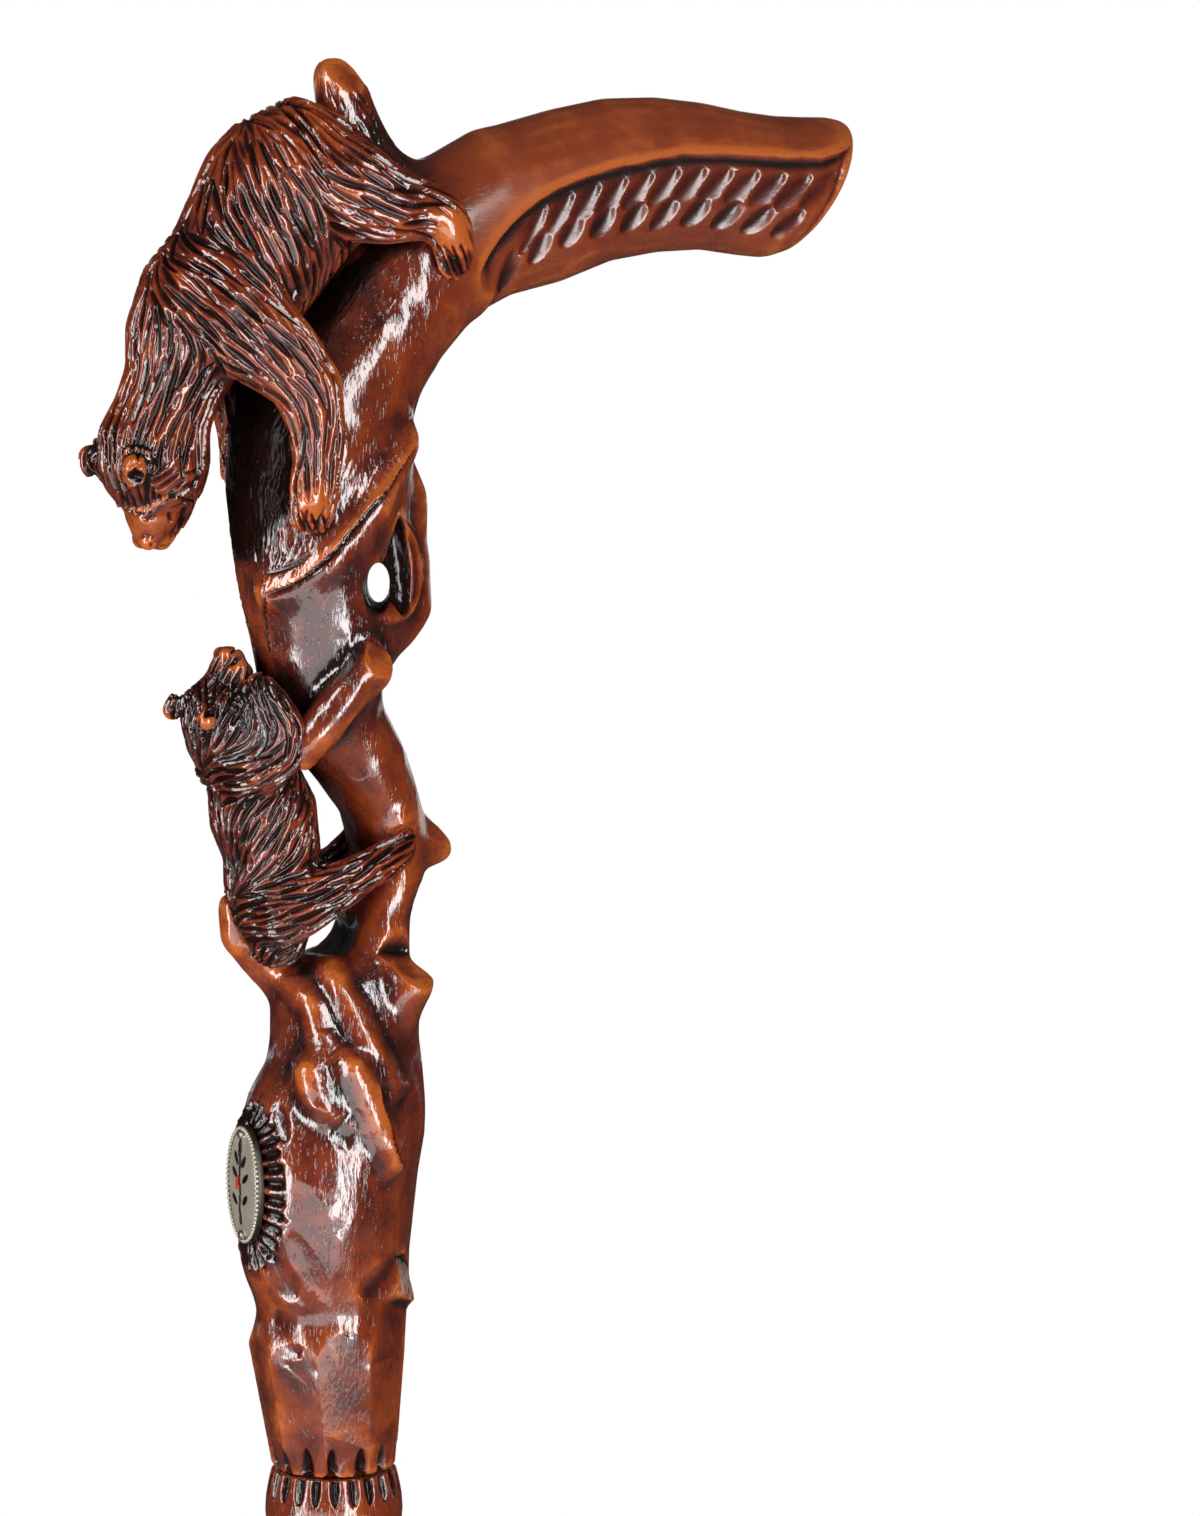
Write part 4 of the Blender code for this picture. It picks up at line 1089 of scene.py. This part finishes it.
class CANE_OT_bear_cub(bpy.types.Operator):
    """Carve the bear cub's fur, face and paws."""

    bl_idname = "cane.bear_cub"
    bl_label = "Bear cub"

    def execute(self, context):
        fur = context.scene.cane_fur
        piece = copy_nodes("bear_cub_fur", ["bear_cub"])
        melt(piece, 0.6, 8)
        melt(piece, 0.25, 4)
        work = Carving(piece, fur.seed + 1)
        smooth = np.zeros(work.count, bool)
        for far in SIDES:
            smooth |= work.behind(CUB_SNOUT, far)
            smooth[work.around(work.spot(*CUB_EAR_DROP, far), 2.6 * MM)] = True
            work.mound(work.spot(*CUB_EAR_DROP, far), 3 * MM, 1.1 * MM)
            work.mound(work.spot(*CUB_NOSE, far), 1.6 * MM, 0.6 * MM)
            work.mound(work.spot(*CUB_HAND, far), 2.6 * MM, 0.7 * MM)
            work.mound(work.spot(*CUB_CHEEK, far), 3.4 * MM, 0.9 * MM)
        work.bake()
        press_face(work, CUB_PRESSES, 3)
        flow = flow_of(both_flanks(CUB_GUIDES), (0.5, 0, 0.85))
        work.comb(~smooth, flow, 8 * MM, 1.35 * MM, 0.7 * MM, (5.2 * MM, 1.65 * MM), 20000, 0.1, 2)
        small = ~smooth & (work.spread(work.cut, 12) < 0.07 * MM)
        work.comb(small, flow, 4 * MM, 0.9 * MM, 0.4 * MM, (3.4 * MM, 1.1 * MM), 14000, 0.1)
        for far in SIDES:
            strokes(work, CUB_STRANDS, 1.0 * MM, 0.7 * MM, far)
            work.groove(work.trace(CUB_MOUTH, far), 0.9 * MM, 0.6 * MM)
        work.marks["cut"] = np.maximum(work.cut, work.depth * 0.6) / (0.65 * MM)
        work.marks["rise"] = work.relief(20) / (0.45 * MM)
        # The open share, which the lacquer paints as shade where it is low.
        work.marks["seen"] = openness(work, 1.6)
        spots = smooth * 0.45
        for far in SIDES:
            for place, reach in ((CUB_EAR_DROP, 2.6 * MM), (CUB_CHEEK, 3 * MM), (CUB_HAND, 2.4 * MM)):
                spots[work.around(work.spot(*place, far), reach)] = 0.9
        work.marks["spot"] = work.spread(spots, 8)
        work.finish(SMALL_MESH)
        dress(piece, lacquer_finish("cub_fur_lacquer", 0.45, 0.9, 0.1))
        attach(piece, "handle")
        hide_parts("bear_cub")
        return {"FINISHED"}


class CANE_OT_trunk(bpy.types.Operator):
    """Carve the trunk and the grip that grows out of it."""

    bl_idname = "cane.trunk"
    bl_label = "Trunk and grip"

    def execute(self, context):
        piece = copy_nodes("trunk_and_grip", ["trunk", "grip"])
        twig = bmesh.new()
        add_chain(twig, TWIG)
        join_form(piece, twig)
        melt(piece, 0.8, 8)
        melt(piece, 0.42, 6)
        work = Carving(piece, 3)
        near_grip = np.clip((work.points[:, 0] - 18 * MM) / (10 * MM), 0, 1)
        for centre, radii, share, rounds in CALM:
            work.relax(work.within(centre, radii) ** 0.5 * share, rounds)
        work.mound(work.spot(*BURR_HEART), 8 * MM, 0.5 * MM)
        self.panel = np.zeros(work.count)
        self.border_shadow = np.zeros(work.count)
        for far in SIDES:
            self.shape_forms(work, far)
        for path, width, rise in SWELLS:
            work.ridge(work.trace(path), width * MM, rise * MM)
        work.lip(work.trace(BURR_EDGE), 1.0 * MM, 8 * MM, 0.4 * MM, 2 * MM)
        work.ridge(work.trace(BURR_FOOT), 7 * MM, -0.5 * MM)
        self.cut_facets(work)
        work.bake(False)
        for far in SIDES:
            side = 1 if far else -1
            radii = (10 * MM, 3.3 * MM, 3.2 * MM)
            work.press(work.spot(*HOLE_SCOOP, far), (0.05, side, 0.1), (-0.06, 0, 1), radii, -0.25)
        start, way = sight_line(*HOLE)
        middle = start - way * (start.y / way.y)
        work.bore(middle, way, (0, 0, 1), (4.1 * MM, 2.3 * MM), 26 * MM)
        scoop = work.spread(np.clip(work.depth / (0.8 * MM), 0, 1), 3)
        work.relax(np.clip(scoop * 3, 0, 1), 5)
        flats = np.zeros(work.count)
        for (px, py), normal, depth, reach, tone in KNOT_FACES:
            flats[work.pare(work.spot(px, py), normal, depth * MM, reach * MM)] = tone
        work.bake()
        for far in SIDES:
            work.groove(work.trace(LIP_BACK, far), 1.6 * MM, 0.8 * MM)
        self.cut_panel(work)
        self.cut_dish(work)
        self.cut_foot(work)
        upright = flow_of((), (0.1, 0, -1))
        shield = work.behind(SHIELD) | work.behind(SHIELD, True)
        plain = (near_grip < 0.3) & ~shield & (flats == 0) & (work.points[:, 2] > HEAD_FOOT + 30 * MM)
        work.comb(plain, upright, 15 * MM, 6 * MM, 0.2 * MM, (11 * MM, 5 * MM), 3000, 0.3, 2)
        for outline, drift, length, width, depth in BARK:
            for far in SIDES:
                place = work.behind(outline, far)
                work.comb(
                    place, flow_of((), drift), length * MM, width * MM, depth * MM,
                    (length * 0.6 * MM, width * MM), 5000,
                )
        wide = work.relief(220)
        stained = np.where(work.cut > 0.3 * MM, work.cut, 0) * (1 - 0.65 * self.panel) / (1.1 * MM)
        # Painted shade: the hollow under the mother's arm darkens through the cut mark and a lower open
        # share, and the hole's scoop darkens through the cut mark.
        arm_hollow_shade = work.spread(work.behind(ARM_HOLLOW_SHADE) | work.behind(ARM_HOLLOW_SHADE, True), 50)
        work.marks["cut"] = np.clip(np.maximum(stained, scoop * 0.75) + arm_hollow_shade * 0.8, 0, 1)
        # Ridges rubbed lighter; the wide term also darkens broad hollows as painted shade.
        work.marks["rise"] = work.relief(30) / (0.4 * MM) + wide / (5 * MM)
        work.marks["seen"] = openness(work, 2.2)
        # The dish's cuts get a lower open share: painted shade that darkens them and dulls their gloss.
        dish = (work.within(MEDALLION, (10, 16, 22)) > 0) & (work.cut > 0.1 * MM)
        work.marks["seen"] *= 1 - np.maximum(arm_hollow_shade * 0.7, work.spread(dish, 3) * 0.45)
        work.marks["warm"] = near_grip
        work.marks["spot"] = work.spread(flats, 5)
        # Painted shade in broad hollows and painted shadow under the panel's border, with darker stain on
        # the shield, the panel and the bodies of the twig and the stub.
        wide_hollow_shade = np.clip(-wide / (1.3 * MM), 0, 1)
        body = (work.behind(TWIG_BODY) | work.behind(STUB_BODY)) & (flats == 0)
        shade = np.clip(wide_hollow_shade + shield * 0.7 + self.panel * 0.3 + self.border_shadow * 0.6 + body * 0.9, 0, 1)
        work.marks["shade"] = work.spread(shade, 8)
        work.finish(LARGE_MESH)
        dress(piece, lacquer_finish("trunk_lacquer", 0.45, 0.5, 0.8, 0.8))
        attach(piece, "handle")
        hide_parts("trunk", "grip")
        return {"FINISHED"}

    def shape_forms(self, work, far):
        """The lip over the shield, the recess of the grip's panel and the band of painted shadow under the
        panel's border.
        """
        work.lip(work.trace(TRUNK_LIP, far), 2.0 * MM, 8 * MM, 0.5 * MM, 1.8 * MM)
        work.lip(work.trace(SHIELD_SIDE, far), 0.6 * MM, 3 * MM, 0.3 * MM, 1.5 * MM)
        px, py, facing = work.pixels(far)
        edge = np.array(PANEL_BORDER)
        foot = np.array(PANEL_FOOT)
        top = np.interp(px, edge[:, 0], edge[:, 1])
        low = np.interp(px, foot[:, 0], foot[:, 1])
        share = (py - top) / np.maximum(low - top, 1)
        ends = np.clip((px - 480) / 12, 0, 1) * np.clip((870 - px) / 8, 0, 1)
        level = np.clip((py - top) / 5, 0, 1) * np.clip((1.05 - share) / 0.75, 0, 1) ** 0.8 * ends
        level *= facing & (work.points[:, 0] > 20 * MM)
        work.lift -= 1.9 * MM * work.spread(level, 2)
        self.panel = np.maximum(self.panel, level)
        # A band of painted shadow just under the panel's border.
        border_shadow = np.clip(1 - np.abs(py - top - 6) / 8, 0, 1) * ends * facing
        self.border_shadow = np.maximum(self.border_shadow, border_shadow * (work.points[:, 0] > 20 * MM))

    def cut_panel(self, work):
        """Two rows of slanting leaf-shaped cuts in the grip's panel, on both sides."""
        edge = np.array(PANEL_BORDER)
        cuts = []
        for count, *rules in PANEL_ROWS:
            for number in range(count):
                right, run, low, high = (first + more * number for first, more in rules)
                start, end = np.interp((right - run, right), edge[:, 0], edge[:, 1])
                cuts.append((right - run, start + low, right, end + high))
        for far in SIDES:
            strokes(work, cuts, 5.4 * MM, 1.0 * MM, far)

    def cut_dish(self, work):
        """The ring of short dark cuts round the medallion."""
        for number in range(30):
            turn = math.tau * (number + 0.5) / 30
            way = np.array((0, math.cos(turn), math.sin(turn)))
            place = work.nearest(way * (0, 10.4, 15) + MEDALLION)
            outward = unit(way * (0, 12.6, 8))
            work.gouge(place, outward, 7.8 * MM, 3 * MM, 1.3 * MM, power=1.2, skew=0.5)

    def cut_facets(self, work):
        """Wide shallow cuts that leave facets: at chosen places, and side by side round the foot."""
        for far in SIDES:
            for px0, py0, px1, py1, width, depth in FACETS:
                strokes(work, ((px0, py0, px1, py1),), width * MM, depth * MM, far)
        for number in range(9):
            turn = math.radians(40 * number - 144)
            height = work.random.uniform(14, 19)
            place = work.nearest((15 * math.cos(turn), 15 * math.sin(turn), height))
            work.pare(place, work.normal_at(place, 4 * MM), 1.3 * MM, (height + 3) * MM, 0.1)

    def cut_foot(self, work):
        """Small notches at the foot's edge."""
        for number in range(14):
            turn = math.tau * (number + 0.5) / 14
            place = work.nearest((14 * math.cos(turn), 14 * math.sin(turn), 0.9))
            work.gouge(place, (0, 0, 1), 10.5 * MM, 3.2 * MM, 1.5 * MM, power=1.3)


def turn_marks(piece, seed, voxel, rounds):
    """A carving of a turned piece, remeshed evenly and open on all sides."""
    melt(piece, voxel, rounds)
    work = Carving(piece, seed)
    work.marks["seen"] = np.ones(work.count)
    return work


class CANE_OT_neck(bpy.types.Operator):
    """Carve the notches of the neck's collar."""

    bl_idname = "cane.neck"
    bl_label = "Neck"

    def execute(self, context):
        piece = copy_nodes("carved_neck", ["neck"])
        work = turn_marks(piece, 11, 0.4, 3)
        for number in range(22):
            turn = math.tau * number / 22
            side, ahead = math.sin(turn), math.cos(turn)
            place = work.nearest((14.4 * ahead, 14.4 * side, -1.9))
            outward = (ahead, side, 0)
            work.gouge(place, (0, 0, 1), 7.6 * MM, 2.5 * MM, 1.1 * MM, power=1.3, normal=outward)
        work.marks["cut"] = work.cut / (0.7 * MM)
        work.marks["rise"] = work.relief(60) / (0.5 * MM)
        # Painted shade on the collar's flat top, where it meets the trunk's foot.
        top = (work.points[:, 2] > HEAD_FOOT - 0.9 * MM) & (work.normals[:, 2] > 0.7)
        work.marks["shade"] = work.spread(top, 4)
        work.finish(SMALL_MESH)
        dress(piece, lacquer_finish("neck_lacquer", 0.47, 0.3, 0.8, 0.7))
        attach(piece, "stick")
        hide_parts("neck")
        return {"FINISHED"}


class CANE_OT_shaft(bpy.types.Operator):
    """Smooth the turned shaft and the moulded ferrule and give them their finishes."""

    bl_idname = "cane.shaft"
    bl_label = "Shaft and ferrule"

    def execute(self, context):
        shaft = copy_nodes("turned_shaft", ["shaft"])
        work = turn_marks(shaft, 12, 0.9, 6)
        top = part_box("shaft")[1].z
        work.marks["shade"] = np.clip((work.points[:, 2] - top + 14 * MM) / (12 * MM), 0, 1)
        work.finish(SHAFT_MESH)
        dress(shaft, plain_wood("shaft_lacquer"))
        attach(shaft, "stick")
        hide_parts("shaft")
        ferrule = copy_nodes("moulded_ferrule", ["ferrule"])
        turn_marks(ferrule, 13, 0.4, 2).finish(FERRULE_MESH)
        dress(ferrule, plain_metal("ferrule_rubber", metal().rubber, 0.55, 0.0))
        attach(ferrule, "tip")
        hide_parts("ferrule")
        return {"FINISHED"}


class CANE_OT_medallion(bpy.types.Operator):
    """Build the domed oval plate with its beaded rim, its sprig and its enamel drop."""

    bl_idname = "cane.medallion"
    bl_label = "Medallion"

    def execute(self, context):
        low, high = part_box("medallion_plate")
        middle = (low + high) / 2
        half = (high - low) / 2
        face = Matrix.Translation((low.x, middle.y, middle.z))
        self.piece("medallion_base", self.base(middle, half), (0.16, 0.14, 0.12), 0.42, "medallion_plate")
        self.piece("medallion_dome", self.dome(face, half), metal().nickel, 0.36, metallic=0.6)
        self.piece("medallion_sprig", self.sprig(face), (0.05, 0.042, 0.036), 0.4)
        drop = bmesh.new()
        place = face @ Matrix.Translation((-0.55 * MM, 1.2 * MM, 0.4 * MM))
        place = place @ Matrix.Rotation(0.3, 4, "X") @ Matrix.Diagonal((0.4 * MM, 0.9 * MM, 1.8 * MM, 1))
        bmesh.ops.create_uvsphere(drop, u_segments=24, v_segments=14, radius=1, matrix=place)
        self.piece("medallion_drop", drop, metal().enamel, 0.18, metallic=0.0)
        return {"FINISHED"}

    def piece(self, name, shape, tone, roughness, node="", metallic=1.0):
        made = new_piece(name, shape)
        smooth_shade(made)
        dress(made, plain_metal(name + "_finish", tone, roughness, metallic))
        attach(made, "handle")
        if node:
            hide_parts(node)

    def base(self, middle, half):
        shape = bmesh.new()
        place = Matrix.Translation(middle) @ Matrix.Diagonal((half.x * 2, half.y, half.z, 1))
        place = place @ Matrix.Rotation(math.pi / 2, 4, "Y")
        bmesh.ops.create_cone(
            shape, cap_ends=True, segments=96, radius1=1, radius2=1, depth=1, matrix=place
        )
        rims = [edge for edge in shape.edges if any(len(face.verts) > 4 for face in edge.link_faces)]
        bmesh.ops.bevel(
            shape, geom=rims, offset=0.25 * MM, affect="EDGES", segments=3, profile=0.5, material=-1
        )
        return shape

    def dome(self, face, half):
        shape = bmesh.new()
        wide, tall = half.y - 1.3 * MM, half.z - 1.3 * MM
        place = face @ Matrix.Diagonal((0.7 * MM, wide, tall, 1)) @ Matrix.Rotation(math.pi / 2, 4, "Y")
        bmesh.ops.create_uvsphere(shape, u_segments=64, v_segments=24, radius=1, matrix=place)
        for number in range(72):
            turn = math.tau * number / 72
            side, rise = math.cos(turn) * (half.y - 0.62 * MM), math.sin(turn) * (half.z - 0.62 * MM)
            bead = face @ Matrix.Translation((-0.05 * MM, side, rise))
            bmesh.ops.create_icosphere(shape, subdivisions=2, radius=0.46 * MM, matrix=bead)
        return shape

    def sprig(self, face):
        """A stem with seven leaves, raised a little from the dome."""
        shape = bmesh.new()
        leaves = (
            (0, 8, 0, 1.9), (1.7, 5.4, -0.6, 2), (-1.7, 5, 0.6, 2), (2.4, 2.2, -0.9, 2.1),
            (-2.4, 1.6, 0.9, 2.2),
            (2.6, -3.4, -0.9, 2), (-2.2, -3, 0.8, 2),
        )
        for side, rise, lean, long in leaves:
            place = face @ Matrix.Translation((-0.5 * MM, side * MM, rise * MM))
            place = place @ Matrix.Rotation(lean, 4, "X")
            place = place @ Matrix.Diagonal((0.36 * MM, 0.75 * MM, long * 0.85 * MM, 1))
            bmesh.ops.create_uvsphere(shape, u_segments=16, v_segments=12, radius=1, matrix=place)
        for rise in range(-7, 8, 2):
            place = face @ Matrix.Translation((-0.55 * MM, 0.25 * math.sin(rise) * MM, rise * MM))
            place = place @ Matrix.Diagonal((0.35 * MM, 0.5 * MM, 1.5 * MM, 1))
            bmesh.ops.create_uvsphere(shape, u_segments=12, v_segments=10, radius=1, matrix=place)
        return shape


class CANE_OT_fittings(bpy.types.Operator):
    """Give the hidden fittings and the pins their finishes."""

    bl_idname = "cane.fittings"
    bl_label = "Fittings"

    def execute(self, context):
        for node in ("stud", "ferrule_washer"):
            dress(NODES[node], plain_metal(node + "_steel", metal().steel, 0.32))
        dress(NODES["head_insert"], plain_metal("insert_brass", metal().brass, 0.28))
        for node in ("medallion_pin_upper", "medallion_pin_lower"):
            dress(NODES[node], plain_metal(node + "_nickel", metal().nickel, 0.3))
        return {"FINISHED"}


def plain_metal(name, tone, roughness, metallic=1.0):
    make = Finish(name)
    here = make.place()
    fine = make.noise(here, 900, 3, 0.6)
    wide = make.noise(here, 160, 3, 0.6)
    base = make.mix(wide.step(0.35, 0.75), opaque([c * 0.72 for c in tone]), opaque(tone))
    return make.surface(
        base_color=base,
        metallic=metallic,
        roughness=roughness * (0.8 + 0.4 * fine),
        normal=make.bump(fine, 0.02 * MM, 0.5),
    )


def plain_wood(name):
    """Straight open grain with wide streaks, under lacquer, and a dark shoulder where the darkening mark is
    high.
    """
    tint = stain()
    make = Finish(name)
    fine = make.noise(make.place(scale=(1, 1, 0.03)), 900, 3, 0.6)
    wide = make.noise(make.place(scale=(1, 1, 0.07)), 130, 3, 0.55, 0.6)
    cloud = make.noise(make.place(scale=(1, 1, 0.3)), 30, 3, 0.6)
    tone = 0.42 + (fine - 0.5) * 0.7 + (wide - 0.5) * 1.0 + (cloud - 0.5) * 0.6 - make.value("shade") * 0.4
    base = make.stained(tone, (0.02, 0.17, 0.36, 0.56, 0.8))
    pits = make.noise(make.place(scale=(1, 1, 0.08)), 1500, 2, 0.5).step(0.56, 0.68)
    return make.surface(
        base_color=base,
        roughness=tint.lacquer + 0.05 + pits * 0.15,
        specular_ior_level=1.0,
        normal=make.bump((1 - pits) + wide * 0.4, 0.05 * MM, 0.5),
    )


class CANE_OT_studio(bpy.types.Operator):
    """Set the camera, the floor and the lights."""

    bl_idname = "cane.studio"
    bl_label = "Studio"

    def execute(self, context):
        scene = context.scene
        studio = scene.cane_studio
        scene.view_settings.view_transform = "Standard"
        self.add_camera(scene)
        self.add_floor(studio)
        self.add_sky(scene, studio)
        middle = Vector((0.0, 0.0, HEAD_FOOT + 0.13))
        self.add_lamp("left_lamp", middle, -80, 8, 1.4, studio.key * 0.95, (0.42, 1.7))
        self.add_lamp("right_lamp", middle, 0, 8, 1.4, studio.key, (0.42, 1.7))
        self.add_lamp("low_lamp", middle, -36, -25, 1.15, studio.low, (1.9, 0.45))
        self.add_lamp("top_lamp", middle, 110, 62, 1.3, studio.fill, (1.2, 1.2)).visible_glossy = False
        return {"FINISHED"}

    def add_camera(self, scene):
        data = bpy.data.cameras.new("camera")
        camera = bpy.data.objects.new("camera", data)
        scene.collection.objects.link(camera)
        place, lens = camera_place()
        right, up, back = camera_axes()
        data.sensor_width = SENSOR
        data.lens = lens
        turn = Matrix((right, up, back)).transposed()
        camera.matrix_world = Matrix.Translation(place) @ turn.to_4x4()
        data.clip_start = 0.1
        data.clip_end = 200
        scene.camera = camera

    def add_floor(self, studio):
        shape = bmesh.new()
        bmesh.ops.create_grid(shape, x_segments=24, y_segments=24, size=14)
        floor = new_piece("floor", shape)
        make = Finish("floor_white")
        here = make.add("ShaderNodeTexCoord", out="Object")
        reach = make.add("ShaderNodeVectorMath", {"operation": "LENGTH"}, {0: here}, out="Value")
        seen, glossy, through = (make.rays(kind) for kind in ("Camera", "Glossy", "Transmission"))
        tone = make.mix(glossy * 0.8, opaque(studio.floor), (0, 0, 0, 1))
        plain = make.add("ShaderNodeBsdfDiffuse", None, {"Color": tone})
        glow = make.add("ShaderNodeEmission", None, {"Color": (1, 1, 1, 1), "Strength": 1.0})
        beyond = make.ahead(here)
        pale = reach.step(0.3, 1.6).greater(0.45)
        factor = (pale * seen + reach.step(0.55, 1.6) * (glossy * beyond.step(4, 9) + through)).lesser(1)
        mixed = make.add("ShaderNodeMixShader", None, {0: factor, 1: plain, 2: glow})
        dress(floor, make.end(mixed))

    def add_sky(self, scene, studio):
        make = Sky("studio_sky")
        seen, glossy, through = (make.rays(kind) for kind in ("Camera", "Glossy", "Transmission"))
        way = make.add("ShaderNodeTexCoord", out="Generated")
        facing = make.ahead(way)
        white = seen.greater(through).greater(glossy * facing.step(0.93, 0.995))
        level = studio.sky * (1 - 0.75 * glossy) + (1 - studio.sky) * white
        light = {"Color": (1, 1, 1, 1), "Strength": level}
        scene.world = make.end(make.add("ShaderNodeBackground", None, light))

    def add_lamp(self, name, aim, azimuth, rise, distance, power, sides):
        data = bpy.data.lights.new(name, "AREA")
        data.shape = "RECTANGLE"
        data.size, data.size_y = sides
        data.energy = power
        lamp = bpy.data.objects.new(name, data)
        bpy.context.scene.collection.objects.link(lamp)
        turn, lift = math.radians(azimuth), math.radians(rise)
        back = Vector((math.sin(turn) * math.cos(lift), -math.cos(turn) * math.cos(lift), math.sin(lift)))
        lamp.location = aim + back * distance
        lamp.rotation_mode = "QUATERNION"
        lamp.rotation_quaternion = (-back).to_track_quat("-Z", "Y")
        lamp.visible_camera = False
        return lamp


OPERATORS = (
    CANE_OT_trunk,
    CANE_OT_mother_bear,
    CANE_OT_bear_cub,
    CANE_OT_neck,
    CANE_OT_shaft,
    CANE_OT_medallion,
    CANE_OT_fittings,
    CANE_OT_studio,
)


class CANE_PT_panel(bpy.types.Panel):
    """The steps that finish the cane."""

    bl_idname = "CANE_PT_panel"
    bl_label = "Carved cane"
    bl_space_type = "VIEW_3D"
    bl_region_type = "UI"
    bl_category = "Cane"

    def draw(self, context):
        for operator in OPERATORS:
            self.layout.operator(operator.bl_idname)


GROUPS = {
    "cane_stain": CaneStain,
    "cane_fur": CaneFur,
    "cane_metal": CaneMetal,
    "cane_studio": CaneStudio,
}


def register():
    for name, group in GROUPS.items():
        bpy.utils.register_class(group)
        setattr(bpy.types.Scene, name, PointerProperty(type=group))
    for item in OPERATORS + (CANE_PT_panel,):
        bpy.utils.register_class(item)


def unregister():
    for item in reversed(OPERATORS + (CANE_PT_panel,)):
        bpy.utils.unregister_class(item)
    for name, group in reversed(GROUPS.items()):
        delattr(bpy.types.Scene, name)
        bpy.utils.unregister_class(group)


def main():
    register()
    for operator in OPERATORS:
        group, name = operator.bl_idname.split(".")
        getattr(getattr(bpy.ops, group), name)()


if __name__ == "__main__":
    main()
